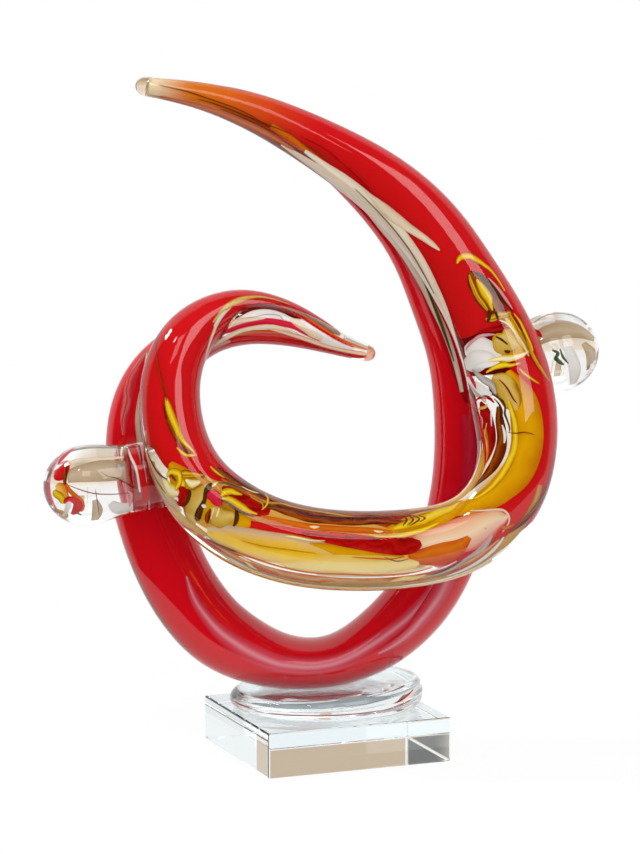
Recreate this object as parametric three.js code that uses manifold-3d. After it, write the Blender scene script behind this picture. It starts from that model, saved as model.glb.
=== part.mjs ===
// Glass sculpture on a clear block: two cased glass strands drawn from one gather, held apart
// by two clear knobs, standing on a clear foot that is glued to the block.
// Millimetres, seen from the front: +X to the right, +Y to the back, +Z up.
import * as THREE from 'three';
import { mergeVertices } from 'three/addons/utils/BufferGeometryUtils.js';
import Module from 'manifold-3d';

// Block
const blockWidth = 110;
const blockDepth = 103;
const blockHeight = 25.5;
const blockEdge = 0.9; // width of the ground edges, along each face
const blockTurn = 21.7; // degrees about the upright axis, against the front view

// Glue film and foot
const filmThickness = 0.5;
const filmInset = 7; // from the rim of the foot's flat underside
const footAcross = 110;
const footDeep = 98;
const footHeight = 13;
const footRim = 5.5; // how far the rounded rim stands out past the flat underside
const footLean = 0.3; // share by which the right end is thicker than the middle
const footSlices = 48;

// Gaps between pieces that touch in the real glass
const seatGap = 0.3; // between two pieces that rest on or against each other
const coreGap = 0.4; // between a casing and the colour inside it

// Clear casing over the colour
const casingWall = 2.4; // at the full girth of a strand
const casingShare = 0.4; // of the half girth, the most the wall takes near the tips
const ringPoints = 18; // points round a section
const outerRings = 2; // rings between two stations, on the outer form
const innerRings = 1; // and on the hollow and the colour in it

// Red and amber side by side inside the front strand, along a border that wanders round it
const amberStartIndex = 6; // place in the stations where the amber starts
const amberEndIndex = 25; // place in the stations where it ends
const arcSpans = 14; // flats on the round side of each colour
const borderSpans = 6; // and across the border between them
const borderGap = 0.7; // between the red and the amber, whose border twists

// Clear knobs, each a short bar with rounded ends
const knobGirth = 45; // across the round outer end
const knobNeck = 38; // across the bar where it meets the strands
const knobCrown = 24; // length of the rounded outer end
const knobSwell = 29; // length over which the bar swells to its full girth
const knobInnerDome = 12; // length of the rounded end between the strands
const knobSlices = 28;

// Clear ends of the strands
const tipReachShare = 1.15; // length of the rounded end, in half girths

// Height of the upper tip's middle above the foot's underside. The strands and the knobs keep
// their shares of it, so they grow taller or lower together.
const glassHeight = 352;

// Each station: x, y, height above the foot's underside, half girth across, half girth in depth
const frontStations = [
  [-100, 0, 352, 5.4, 5.4],
  [-71, -1, 347.5, 7.5, 7],
  [-38, -3, 337.5, 11, 9.5],
  [-3, -6, 320, 14.6, 11.5],
  [31, -10, 299, 17.9, 13.5],
  [57, -13, 275, 19.4, 14.5],
  [76, -16, 247, 20, 15.5],
  [89, -20, 225, 21.2, 16.5],
  [99, -27, 201, 23, 17.5],
  [104, -34, 178, 23.8, 18.5],
  [106, -40, 155, 22, 19],
  [101, -45, 132, 21, 19.5],
  [87, -49, 114, 20.6, 19.5],
  [67, -51, 104, 21.3, 19.5],
  [42, -52, 100, 22.1, 19.5],
  [16, -52, 99, 22.3, 19.5],
  [-12, -51, 101, 22.6, 19.5],
  [-38, -48, 108, 22.6, 19.5],
  [-59, -44, 120, 22, 19],
  [-74, -39, 135, 20.3, 18],
  [-83, -32, 153, 18.4, 17],
  [-87, -26, 172, 17.3, 16],
  [-87, -20, 191, 16.6, 15.5],
  [-80, -13, 210, 15.2, 15],
  [-66, -5, 223, 12.5, 12.5],
  [-46, 3, 230, 8.6, 9.5],
  [-22, 7, 224, 7.4, 8.5],
  [-4, 6, 215, 6, 6.5],
  [9, 4, 209, 3.4, 3.6],
];

const rearStations = [
  [-34, 1, 333, 5, 5],
  [-6, 4, 315, 7.5, 7],
  [24, 9, 289.5, 10.5, 9.5],
  [49, 14, 261, 14, 11.5],
  [64, 18, 230, 17, 13.5],
  [75, 20, 201, 17.9, 15],
  [79, 22, 173, 18.2, 16],
  [80, 22, 142, 18.4, 16.5],
  [77, 20, 114, 18.3, 17],
  [69, 16, 85, 18.3, 17.5],
  [53, 10, 58, 19.2, 19],
  [29, 4, 36, 17.6, 21],
  [2, 0, 24, 14.2, 22],
  [-25, 0, 24.5, 15.3, 22],
  [-49, 2, 33, 19.2, 21],
  [-67, 5, 45, 20.5, 19.5],
  [-85, 10, 69, 20.7, 18.5],
  [-98, 15, 100, 20.4, 18],
  [-106, 18, 132, 19.6, 17],
  [-104, 18, 163, 20.4, 16],
  [-95, 15, 187, 18, 14],
  [-81, 9, 204, 13.6, 12],
  [-64, 2, 215, 12.4, 11],
  [-44, -3, 220, 12, 10.5],
  [-22, -4, 218, 11, 9.5],
  [-4, -3, 212, 8.4, 8],
  [11, -1, 206, 6, 6],
  [22, 0, 202.5, 4.8, 4.8],
];

// Where the red lies round the front strand: station, from, to, in degrees.
// 0 is the outer side of the bend, 90 faces the viewer and 180 is the inner side.
const redSpans = [
  [0, -150, 150],
  [7, -150, 150],
  [8, -125, 50],
  [9, -55, 68],
  [10, -45, 75],
  [11, 0, 102],
  [12, 50, 116],
  [13, 62, 118],
  [14, 82, 126],
  [17, 88, 132],
  [18, 122, 184],
  [19, 100, 188],
  [20, 45, 192],
  [22, 6, 200],
  [23, -20, 200],
  [24, -85, 195],
  [25, -150, 150],
  [27, -150, 150],
];

// The colour starts and ends at these stations, and each casing is open at its own tip
const frontRedEndIndex = 27;
const rearRedStartIndex = 2;

// Knob ends: where the bar starts between the strands, and the crown of its round end
const leftKnobInner = [-70, -10, 139];
const leftKnobCrown = [-158.5, -19, 126.5];
const rightKnobInner = [80, 4, 191];
const rightKnobCrown = [153, 6, 207.5];

// Colours
const clearGlass = new THREE.MeshStandardMaterial({ color: 0xdfe9e6, roughness: 0.05, metalness: 0 });
const casingGlass = new THREE.MeshStandardMaterial({ color: 0xe9b7ae, roughness: 0.05, metalness: 0 });
const redGlass = new THREE.MeshStandardMaterial({ color: 0xbe161c, roughness: 0.08, metalness: 0 });
const amberGlass = new THREE.MeshStandardMaterial({ color: 0xe19b0a, roughness: 0.08, metalness: 0 });
const glue = new THREE.MeshStandardMaterial({ color: 0xeef2ee, roughness: 0.2, metalness: 0 });

const manifoldModule = await Module();
manifoldModule.setup();

// A closed manifold solid from a three.js geometry
function toSolid(geometry) {
  const bare = geometry.clone();
  bare.deleteAttribute('normal');
  bare.deleteAttribute('uv');
  const welded = mergeVertices(bare, 1e-4);
  const mesh = new manifoldModule.Mesh({
    numProp: 3,
    vertProperties: new Float32Array(welded.attributes.position.array),
    triVerts: new Uint32Array(welded.index.array),
  });
  return new manifoldModule.Manifold(mesh);
}

// The largest body of a manifold solid, as a three.js geometry
function toGeometry(solid) {
  const bodies = solid.decompose();
  bodies.sort((a, b) => b.volume() - a.volume());
  const mesh = bodies[0].getMesh();
  const geometry = new THREE.BufferGeometry();
  geometry.setAttribute('position', new THREE.BufferAttribute(new Float32Array(mesh.vertProperties), 3));
  geometry.setIndex(new THREE.BufferAttribute(new Uint32Array(mesh.triVerts), 1));
  geometry.computeVertexNormals();
  return geometry;
}

// What the measured heights are multiplied by to give the glass its height
const heightShare = glassHeight / frontStations[0][2];

// A strand's route: its centre line, its half girths and the directions across and towards the viewer
function makeRoute(stations) {
  const centres = stations.map(([x, y, z]) => new THREE.Vector3(x, y, z * heightShare));
  const girths = stations.map(([, , , across, deep]) => new THREE.Vector3(across, deep, 0));
  const centreLine = new THREE.CatmullRomCurve3(centres);
  const girthLine = new THREE.CatmullRomCurve3(girths);
  const steps = stations.length - 1;
  const depth = new THREE.Vector3(0, 1, 0);

  function at(station) {
    const t = THREE.MathUtils.clamp(station / steps, 0, 1);
    const centre = centreLine.getPoint(t);
    const along = centreLine.getTangent(t);
    const outward = new THREE.Vector3().crossVectors(along, depth).normalize();
    const viewer = new THREE.Vector3().crossVectors(along, outward).normalize();
    const girth = girthLine.getPoint(t);
    return { centre, along, outward, viewer, across: girth.x, deep: girth.y };
  }
  return { at, steps };
}

// Wall of the clear casing at a place on the route
function wallAt(place) {
  return Math.min(casingWall, casingShare * Math.min(place.across, place.deep));
}

// Points of a round section, taken in by a margin
function roundSection(place, margin) {
  const points = [];
  for (let k = 0; k < ringPoints; k += 1) {
    const angle = (2 * Math.PI * k) / ringPoints;
    points.push([(place.across - margin) * Math.cos(angle), (place.deep - margin) * Math.sin(angle)]);
  }
  return points;
}

// Middle and half width, in radians, of the red round the front strand
function redSpanAt(station) {
  const next = Math.max(1, redSpans.findIndex((row) => row[0] >= station));
  const [start, startFrom, startTo] = redSpans[next - 1];
  const [end, endFrom, endTo] = redSpans[next];
  const share = (station - start) / (end - start);
  const from = THREE.MathUtils.lerp(startFrom, endFrom, share);
  const to = THREE.MathUtils.lerp(startTo, endTo, share);
  return [THREE.MathUtils.degToRad((from + to) / 2), THREE.MathUtils.degToRad((to - from) / 2)];
}

// Points of the part of a section on one side of the straight border between red and amber.
// side is 1 for the red and -1 for the amber.
function sideSection(place, margin, station, side) {
  const facetSag = place.across * (1 - Math.cos(Math.PI / ringPoints));
  const across = place.across - margin - facetSag;
  const deep = place.deep - margin - facetSag;
  const [middle, half] = redSpanAt(station);
  const edge = Math.cos(half) + (side * borderGap * 0.5) / Math.min(across, deep);
  const turn = Math.acos(side * edge);
  const facing = side > 0 ? middle : middle + Math.PI;
  const points = [];
  for (let k = 0; k <= arcSpans; k += 1) {
    const angle = facing + turn * ((2 * k) / arcSpans - 1);
    points.push([across * Math.cos(angle), deep * Math.sin(angle)]);
  }
  const [start, end] = [points[arcSpans], points[0]];
  for (let k = 1; k < borderSpans; k += 1) {
    const share = k / borderSpans;
    points.push([
      THREE.MathUtils.lerp(start[0], end[0], share),
      THREE.MathUtils.lerp(start[1], end[1], share),
    ]);
  }
  return points;
}

// A closed solid that carries a section along a route. shift moves the end rings outwards.
function sweep(route, first, last, shift, density, sectionAt) {
  const rings = Math.max(2, Math.round((last - first) * density));
  const positions = [];
  const index = [];
  for (let i = 0; i <= rings; i += 1) {
    const station = first + ((last - first) * i) / rings;
    const place = route.at(station);
    const push = (i === 0 ? -shift : 0) + (i === rings ? shift : 0);
    for (const [u, v] of sectionAt(place, station)) {
      const point = place.centre.clone();
      point.addScaledVector(place.outward, u);
      point.addScaledVector(place.viewer, v);
      point.addScaledVector(place.along, push);
      positions.push(point.x, point.y, point.z);
    }
  }
  const count = positions.length / 3 / (rings + 1);
  for (let i = 0; i < rings; i += 1) {
    for (let k = 0; k < count; k += 1) {
      const a = i * count + k;
      const b = i * count + ((k + 1) % count);
      if (distanceBetween(positions, a, b + count) < distanceBetween(positions, b, a + count)) {
        index.push(a, b, b + count);
        index.push(a, b + count, a + count);
      } else {
        index.push(a, b, a + count);
        index.push(b, b + count, a + count);
      }
    }
  }
  addCap(positions, index, 0, count, false);
  addCap(positions, index, rings * count, count, true);
  const geometry = new THREE.BufferGeometry();
  geometry.setAttribute('position', new THREE.Float32BufferAttribute(positions, 3));
  geometry.setIndex(index);
  geometry.computeVertexNormals();
  return geometry;
}

function distanceBetween(positions, a, b) {
  const from = new THREE.Vector3().fromArray(positions, a * 3);
  return from.distanceTo(new THREE.Vector3().fromArray(positions, b * 3));
}

// Closes one end ring with a fan about its middle
function addCap(positions, index, start, count, forward) {
  const middle = new THREE.Vector3();
  for (let k = 0; k < count; k += 1) {
    middle.add(new THREE.Vector3().fromArray(positions, (start + k) * 3));
  }
  middle.divideScalar(count);
  const centre = positions.length / 3;
  positions.push(middle.x, middle.y, middle.z);
  for (let k = 0; k < count; k += 1) {
    const a = start + k;
    const b = start + ((k + 1) % count);
    if (forward) {
      index.push(centre, a, b);
    } else {
      index.push(centre, b, a);
    }
  }
}

const frontRoute = makeRoute(frontStations);
const rearRoute = makeRoute(rearStations);

// The outer form of each strand, and the same form with the seat gap added for cutting
function strandForm(route, grow) {
  return toSolid(sweep(route, 0, route.steps, grow, outerRings, (place) => roundSection(place, -grow)));
}

const frontForm = strandForm(frontRoute, 0);
const rearForm = strandForm(rearRoute, 0);
const frontCutter = strandForm(frontRoute, seatGap);
const rearCutter = strandForm(rearRoute, seatGap);

function buildFrontCasing() {
  const hollow = sweep(frontRoute, 0, frontRedEndIndex, coreGap, innerRings, (place) =>
    roundSection(place, wallAt(place)),
  );
  return toGeometry(frontForm.subtract(toSolid(hollow)));
}

function buildFrontRed() {
  return sweep(frontRoute, 0, frontRedEndIndex, 0, innerRings, (place, station) =>
    sideSection(place, wallAt(place) + coreGap, station, 1),
  );
}

function buildFrontAmber() {
  return sweep(frontRoute, amberStartIndex, amberEndIndex, 0, innerRings, (place, station) =>
    sideSection(place, wallAt(place) + coreGap, station, -1),
  );
}

function buildRearCasing() {
  const hollow = sweep(rearRoute, rearRedStartIndex, rearRoute.steps, coreGap, innerRings, (place) =>
    roundSection(place, wallAt(place)),
  );
  return toGeometry(rearForm.subtract(toSolid(hollow)).subtract(frontCutter));
}

function buildRearRed() {
  const core = sweep(rearRoute, rearRedStartIndex, rearRoute.steps, 0, innerRings, (place) =>
    roundSection(place, wallAt(place) + coreGap),
  );
  return toGeometry(toSolid(core).subtract(frontCutter));
}

// A rounded clear end on a strand. outside is -1 at the first station and 1 at the last.
function buildTip(route, station, outside) {
  const place = route.at(station);
  const steps = 8;
  const length = tipReachShare * place.across;
  const profile = [new THREE.Vector2(0, 0)];
  for (let i = 0; i < steps; i += 1) {
    const angle = (0.5 * Math.PI * i) / steps;
    profile.push(new THREE.Vector2(Math.cos(angle), length * Math.sin(angle)));
  }
  profile.push(new THREE.Vector2(0, length));
  const dome = new THREE.LatheGeometry(profile, ringPoints);
  const away = place.along.clone().multiplyScalar(outside);
  const side = new THREE.Vector3().crossVectors(away, place.outward);
  const turn = new THREE.Matrix4().makeBasis(
    place.outward.clone().multiplyScalar(place.across),
    away,
    side.clone().multiplyScalar(-place.deep),
  );
  const origin = place.centre.clone().addScaledVector(away, seatGap);
  turn.setPosition(origin);
  dome.applyMatrix4(turn);
  return toGeometry(toSolid(dome));
}

// A knob: a bar that swells to a round crown, cut to seat on both strands
function buildKnob(inner, crown) {
  const from = new THREE.Vector3(inner[0], inner[1], inner[2] * heightShare);
  const to = new THREE.Vector3(crown[0], crown[1], crown[2] * heightShare);
  const length = from.distanceTo(to);
  const neck = knobNeck / 2;
  const round = knobGirth / 2;
  const crownStart = length - knobCrown;
  const swellStart = crownStart - knobSwell;
  const profile = [new THREE.Vector2(0, 0)];
  for (let i = 1; i <= 6; i += 1) {
    const angle = (0.5 * Math.PI * i) / 6;
    profile.push(new THREE.Vector2(neck * Math.sin(angle), knobInnerDome * (1 - Math.cos(angle))));
  }
  for (let i = 0; i <= 4; i += 1) {
    const swell = 0.5 - 0.5 * Math.cos((Math.PI * i) / 4);
    profile.push(new THREE.Vector2(neck + (round - neck) * swell, swellStart + (knobSwell * i) / 4));
  }
  for (let i = 1; i < 10; i += 1) {
    const angle = (0.5 * Math.PI * i) / 10;
    profile.push(new THREE.Vector2(round * Math.cos(angle), crownStart + knobCrown * Math.sin(angle)));
  }
  profile.push(new THREE.Vector2(0, length));
  const bar = new THREE.LatheGeometry(profile, knobSlices);
  const axis = to.clone().sub(from).normalize();
  bar.applyQuaternion(new THREE.Quaternion().setFromUnitVectors(new THREE.Vector3(0, 1, 0), axis));
  bar.translate(from.x, from.y, from.z);
  return toGeometry(toSolid(bar).subtract(frontCutter).subtract(rearCutter));
}

// The foot: a rounded pad, flat underneath, hollowed on top to seat the rear strand
function buildFoot() {
  const arcSteps = 10;
  const flat = 1 - (2 * footRim) / footAcross;
  const profile = [new THREE.Vector2(0, 0), new THREE.Vector2(flat, 0)];
  for (let i = 1; i < arcSteps; i += 1) {
    const angle = -0.5 * Math.PI + (Math.PI * i) / arcSteps;
    const reach = flat + (1 - flat) * Math.cos(angle);
    profile.push(new THREE.Vector2(reach, (footHeight / 2) * (1 + Math.sin(angle))));
  }
  profile.push(new THREE.Vector2(flat, footHeight));
  profile.push(new THREE.Vector2(0, footHeight));
  const pad = new THREE.LatheGeometry(profile, footSlices);
  pad.rotateX(Math.PI / 2);
  pad.scale(footAcross / 2, footDeep / 2, 1);
  const position = pad.attributes.position;
  for (let i = 0; i < position.count; i += 1) {
    const lean = 1 + (footLean * position.getX(i)) / (footAcross / 2);
    position.setZ(i, position.getZ(i) * lean);
  }
  return toGeometry(toSolid(pad).subtract(rearCutter));
}

function buildFilm() {
  const flat = 1 - (2 * (footRim + filmInset)) / footAcross;
  const film = new THREE.CylinderGeometry(1, 1, filmThickness, footSlices);
  film.rotateX(Math.PI / 2);
  film.scale((flat * footAcross) / 2, (flat * footDeep) / 2, 1);
  return film;
}

// The block: an upright square slab with ground edges
function buildBlock() {
  const outline = new THREE.Shape();
  const halfWidth = blockWidth / 2 - blockEdge;
  const halfDepth = blockDepth / 2 - blockEdge;
  outline.moveTo(-halfWidth, -halfDepth);
  outline.lineTo(halfWidth, -halfDepth);
  outline.lineTo(halfWidth, halfDepth);
  outline.lineTo(-halfWidth, halfDepth);
  outline.closePath();
  const block = new THREE.ExtrudeGeometry(outline, {
    depth: blockHeight - 2 * blockEdge,
    bevelEnabled: true,
    bevelThickness: blockEdge,
    bevelSize: blockEdge,
    bevelSegments: 1,
  });
  block.translate(0, 0, blockEdge);
  return block;
}

function named(name, geometry, material) {
  const mesh = new THREE.Mesh(geometry, material);
  mesh.name = name;
  return mesh;
}

const sculpture = new THREE.Group();

const block = named('base_block', buildBlock(), clearGlass);
block.rotation.z = THREE.MathUtils.degToRad(blockTurn);
sculpture.add(block);

const film = named('glue_film', buildFilm(), glue);
film.position.z = blockHeight + seatGap + filmThickness / 2;
sculpture.add(film);

const glass = new THREE.Group();
glass.position.z = blockHeight + filmThickness + 2 * seatGap;
glass.add(named('foot_pad', buildFoot(), clearGlass));
glass.add(named('rear_strand_casing', buildRearCasing(), casingGlass));
glass.add(named('rear_strand_red_core', buildRearRed(), redGlass));
glass.add(named('front_strand_casing', buildFrontCasing(), casingGlass));
glass.add(named('front_strand_red_core', buildFrontRed(), redGlass));
glass.add(named('front_strand_amber_core', buildFrontAmber(), amberGlass));
glass.add(named('upper_tip', buildTip(frontRoute, 0, -1), clearGlass));
glass.add(named('hook_tip', buildTip(rearRoute, rearRoute.steps, 1), clearGlass));
glass.add(named('left_knob', buildKnob(leftKnobInner, leftKnobCrown), clearGlass));
glass.add(named('right_knob', buildKnob(rightKnobInner, rightKnobCrown), clearGlass));
sculpture.add(glass);

export default sculpture;
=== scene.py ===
import math
import random

import bpy
import numpy as np
from mathutils import Matrix, Vector


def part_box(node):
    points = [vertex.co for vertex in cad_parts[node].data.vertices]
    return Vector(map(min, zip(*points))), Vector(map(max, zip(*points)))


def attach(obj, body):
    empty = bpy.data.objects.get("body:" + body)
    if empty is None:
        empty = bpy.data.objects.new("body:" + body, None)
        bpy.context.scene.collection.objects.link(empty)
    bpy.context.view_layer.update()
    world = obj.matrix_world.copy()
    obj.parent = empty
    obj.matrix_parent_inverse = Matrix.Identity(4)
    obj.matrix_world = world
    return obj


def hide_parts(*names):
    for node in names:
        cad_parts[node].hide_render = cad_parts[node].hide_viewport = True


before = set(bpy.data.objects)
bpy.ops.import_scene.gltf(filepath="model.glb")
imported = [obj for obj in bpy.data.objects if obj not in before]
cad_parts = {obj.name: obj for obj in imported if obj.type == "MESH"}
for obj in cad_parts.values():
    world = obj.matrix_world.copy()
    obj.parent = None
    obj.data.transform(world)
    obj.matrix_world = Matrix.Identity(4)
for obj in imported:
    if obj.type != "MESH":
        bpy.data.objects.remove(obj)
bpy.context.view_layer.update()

MM = 0.001
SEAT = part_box("foot_pad")[0].z  # height of the foot's underside

# The strands' stations, as in the part's source:
# x, y, height above the foot's underside, half girth across, half girth in depth, in mm
FRONT_STATIONS = [
    (-100, 0, 352, 5.4, 5.4),
    (-71, -1, 347.5, 7.5, 7),
    (-38, -3, 337.5, 11, 9.5),
    (-3, -6, 320, 14.6, 11.5),
    (31, -10, 299, 17.9, 13.5),
    (57, -13, 275, 19.4, 14.5),
    (76, -16, 247, 20, 15.5),
    (89, -20, 225, 21.2, 16.5),
    (99, -27, 201, 23, 17.5),
    (104, -34, 178, 23.8, 18.5),
    (106, -40, 155, 22, 19),
    (101, -45, 132, 21, 19.5),
    (87, -49, 114, 20.6, 19.5),
    (67, -51, 104, 21.3, 19.5),
    (42, -52, 100, 22.1, 19.5),
    (16, -52, 99, 22.3, 19.5),
    (-12, -51, 101, 22.6, 19.5),
    (-38, -48, 108, 22.6, 19.5),
    (-59, -44, 120, 22, 19),
    (-74, -39, 135, 20.3, 18),
    (-83, -32, 153, 18.4, 17),
    (-87, -26, 172, 17.3, 16),
    (-87, -20, 191, 16.6, 15.5),
    (-80, -13, 210, 15.2, 15),
    (-66, -5, 223, 12.5, 12.5),
    (-46, 3, 230, 8.6, 9.5),
    (-22, 7, 224, 7.4, 8.5),
    (-4, 6, 215, 6, 6.5),
    (9, 4, 209, 3.4, 3.6),
]
REAR_STATIONS = [
    (-34, 1, 333, 5, 5),
    (-6, 4, 315, 7.5, 7),
    (24, 9, 289.5, 10.5, 9.5),
    (49, 14, 261, 14, 11.5),
    (64, 18, 230, 17, 13.5),
    (75, 20, 201, 17.9, 15),
    (79, 22, 173, 18.2, 16),
    (80, 22, 142, 18.4, 16.5),
    (77, 20, 114, 18.3, 17),
    (69, 16, 85, 18.3, 17.5),
    (53, 10, 58, 19.2, 19),
    (29, 4, 36, 17.6, 21),
    (2, 0, 24, 14.2, 22),
    (-25, 0, 24.5, 15.3, 22),
    (-49, 2, 33, 19.2, 21),
    (-67, 5, 45, 20.5, 19.5),
    (-85, 10, 69, 20.7, 18.5),
    (-98, 15, 100, 20.4, 18),
    (-106, 18, 132, 19.6, 17),
    (-104, 18, 163, 20.4, 16),
    (-95, 15, 187, 18, 14),
    (-81, 9, 204, 13.6, 12),
    (-64, 2, 215, 12.4, 11),
    (-44, -3, 220, 12, 10.5),
    (-22, -4, 218, 11, 9.5),
    (-4, -3, 212, 8.4, 8),
    (11, -1, 206, 6, 6),
    (22, 0, 202.5, 4.8, 4.8),
]

# Where a colour lies round a strand: station, from, to, in degrees.
# 0 is the outer side of the bend, 90 faces the viewer and 180 is the inner side.
FRONT_RED = [
    (0.05, -150, 150),
    (2.4, -150, 130),
    (3.2, -150, 130),
    (3.6, -150, 122),
    (4.4, -150, 124),
    (4.9, -150, 134),
    (5.9, -150, 142),
    (6.5, -150, 154),
    (7.12, -150, 160),
    (7.24, -150, 140),
    (7.36, -150, 44),
    (7.7, -150, 42),
    (8.0, -140, 48),
    (8.14, -120, 80),
    (8.35, -70, 88),
    (8.65, -40, 80),
    (8.85, -40, 68),
    (9.15, -40, 58),
    (9.65, -40, 60),
    (10.2, -36, 72),
    (10.8, -20, 90),
    (11.2, 0, 104),
    (11.6, 30, 117),
    (12.05, 60, 110),
    (12.8, 60, 106),
    (13.45, 68, 110),
    (13.7, 86, 112),
    (14.05, 98, 118),
    (14.5, 104, 122),
    (15.3, 114, 128),
    (16.1, 114, 126),
    (17, 104, 116),
    (17.6, 92, 102),
    (18.05, 93, 96),
]
FRONT_RED_LEFT = [
    (17.45, 162, 172),
    (17.65, 154, 178),
    (18.3, 144, 180),
    (18.55, 130, 182),
    (18.95, 118, 184),
    (19.15, 90, 186),
    (19.5, 64, 188),
    (20.1, 44, 190),
    (20.4, 24, 195),
    (21.5, 14, 200),
    (22.5, 8, 200),
    (23.2, -20, 200),
    (24, -90, 200),
    (25, -155, 200),
    (27.4, -150, 150),
]
FRONT_AMBER = [
    (8.2, 84, 112),
    (8.35, 80, 112),
    (8.6, 60, 108),
    (8.95, 50, 100),
    (9.65, 50, 100),
    (10.25, 56, 108),
    (10.55, 58, 122),
    (11.1, 66, 146),
    (11.65, 70, 156),
    (12.45, 62, 178),
    (13.4, 60, 186),
    (15.25, 56, 186),
    (17, 50, 180),
    (17.7, 46, 170),
    (18.6, 52, 150),
    (19.2, 62, 135),
    (19.6, 80, 120),
]
REAR_RED_UPPER = [
    (0.9, 164, 210),
    (2.1, 164, 320),
    (2.45, 156, 330),
    (2.85, 146, 330),
    (3.35, 138, 330),
    (3.8, 124, 330),
    (4.8, 116, 330),
    (5.35, 110, 330),
    (6.05, 90, 330),
]
REAR_RED_FIRST, REAR_RED_LAST = 6.0, 21.6
HOOK_LOWER_RED = [
    (21.65, 70, 225),
    (22.3, 112, 220),
    (22.8, 112, 220),
    (23.6, 104, 215),
    (24.8, 108, 210),
    (26.4, 112, 200),
]
HOOK_RED_BAND = [
    (21.65, 20, 60),
    (22.0, 60, 104),
    (22.45, 86, 106),
    (23.35, 76, 90),
    (24.05, 60, 76),
    (24.9, 62, 74),
    (25.3, 70, 74),
]

# Knobs: inner end and crown, in mm from the foot's underside, and their profile
LEFT_KNOB = ((-70, -10, 139), (-158.5, -19, 126.5))
RIGHT_KNOB = ((80, 4, 191), (153, 6, 207.5))
KNOB_GIRTH = 45
KNOB_NECK = 38
KNOB_CROWN = 24
KNOB_SWELL = 29
KNOB_INNER_DOME = 12

CASING = 2.8  # clear glass over the colour, in mm
HOOK_CASING = 2.6
GAP = 0.15  # between two pieces that meet, in mm
CREASE = 40  # degrees between two faces from which their edge is sharp
TIP_REACH = 1.15  # length of a clear drawn-off end, in half girths
BLOCK_TURN = math.radians(21.7)
BLOCK_WIDTH, BLOCK_DEPTH, BLOCK_GROUND_EDGE = 110, 103, 0.9  # mm
FOOT_HEIGHT, FOOT_RIM = 13.0, 5.5  # mm
FOOT_LEAN = 0.3  # share by which the foot is thicker at its right end and thinner at its left one
BUBBLES = 90
BUBBLE_RADIUS = (0.18, 0.42)  # mm

# How finely the forms are divided
RING_POINTS = 72
RINGS_PER_STATION = 12
LAYER_STEPS = 40
LAYER_RINGS_PER_STATION = 24
STROKE_STEPS = 6
STROKE_PARTS = 5
TIP_ROWS = 14
DOME_ROWS, SWELL_ROWS, CROWN_ROWS = 12, 16, 24
FOOT_POINTS, FOOT_ROWS, FILM_POINTS = 128, 24, 96


def hermite(a, b, slope_a, slope_b, t):
    """A cubic from a to b, with its slopes there, as t goes from 0 to 1."""
    return (
        a * (2 * t**3 - 3 * t**2 + 1)
        + b * (3 * t**2 - 2 * t**3)
        + slope_a * (t**3 - 2 * t**2 + t)
        + slope_b * (t**3 - t**2)
    )


class Route:
    """A strand's centre line and girths, sampled closely and smoothed."""

    PER_STATION = 24
    SMOOTHING = 160
    AIM = 0.06  # stations before and behind a place that give its direction

    def __init__(self, stations):
        self.steps = len(stations) - 1
        table = np.array(stations, float)
        self.centre = self.fair(self.spline(table[:, :3]))
        self.girth = self.fair(self.spline(table[:, 3:]))

    def spline(self, points):
        """Centripetal Catmull-Rom curve through the stations."""
        ends = [2 * points[0] - points[1], *points, 2 * points[-1] - points[-2]]
        out = []
        for i in range(self.steps):
            p = ends[i : i + 4]
            d = [max(np.linalg.norm(p[k + 1] - p[k]) ** 0.5, 1e-4) for k in range(3)]
            m1 = (p[1] - p[0]) / d[0] - (p[2] - p[0]) / (d[0] + d[1]) + (p[2] - p[1]) / d[1]
            m2 = (p[2] - p[1]) / d[1] - (p[3] - p[1]) / (d[1] + d[2]) + (p[3] - p[2]) / d[2]
            for k in range(self.PER_STATION):
                out.append(hermite(p[1], p[2], m1 * d[1], m2 * d[1], k / self.PER_STATION))
        return np.array([*out, points[-1]])

    def fair(self, samples):
        """Evens out the curve a little, with its ends kept."""
        for _ in range(self.SMOOTHING):
            samples[1:-1] = (samples[:-2] + 2 * samples[1:-1] + samples[2:]) / 4
        return samples

    def sample(self, samples, station):
        x = min(max(station, 0), self.steps) * self.PER_STATION
        i = min(int(x), len(samples) - 2)
        return Vector(samples[i] + (samples[i + 1] - samples[i]) * (x - i))

    def at(self, station):
        centre = self.sample(self.centre, station)
        ahead = self.sample(self.centre, station + self.AIM)
        behind = self.sample(self.centre, station - self.AIM)
        along = (ahead - behind).normalized()
        outward = along.cross(Vector((0, 1, 0))).normalized()
        viewer = along.cross(outward).normalized()
        return Place(centre, along, outward, viewer, *self.sample(self.girth, station))


class Place:
    """A place on a route: its centre, its directions and the half girths of the glass, in mm."""

    def __init__(self, centre, along, outward, viewer, across, deep):
        self.centre, self.along, self.outward, self.viewer = centre, along, outward, viewer
        self.across, self.deep = across, deep

    def point(self, u, v, push=0):
        """A point of the section, in metres in the frame."""
        p = self.centre + self.outward * u + self.viewer * v + self.along * push
        return (p.x * MM, p.y * MM, p.z * MM + SEAT)


FRONT = Route(FRONT_STATIONS)
REAR = Route(REAR_STATIONS)


def keyed(table, station, column):
    """A value of a table of stations, on a smooth line through its rows that doesn't overshoot."""
    if station <= table[0][0]:
        return table[0][column]
    if station >= table[-1][0]:
        return table[-1][column]
    slopes = [(q[column] - p[column]) / (q[0] - p[0]) for p, q in zip(table, table[1:])]
    i = next(k for k in range(len(slopes)) if station <= table[k + 1][0])
    p, q = table[i], table[i + 1]
    start = joint_slope(slopes[i - 1], slopes[i]) if i else slopes[i]
    end = joint_slope(slopes[i], slopes[i + 1]) if i + 1 < len(slopes) else slopes[i]
    span = q[0] - p[0]
    return hermite(p[column], q[column], span * start, span * end, (station - p[0]) / span)


def joint_slope(a, b):
    return 2 * a * b / (a + b) if a * b > 0 else 0


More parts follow.
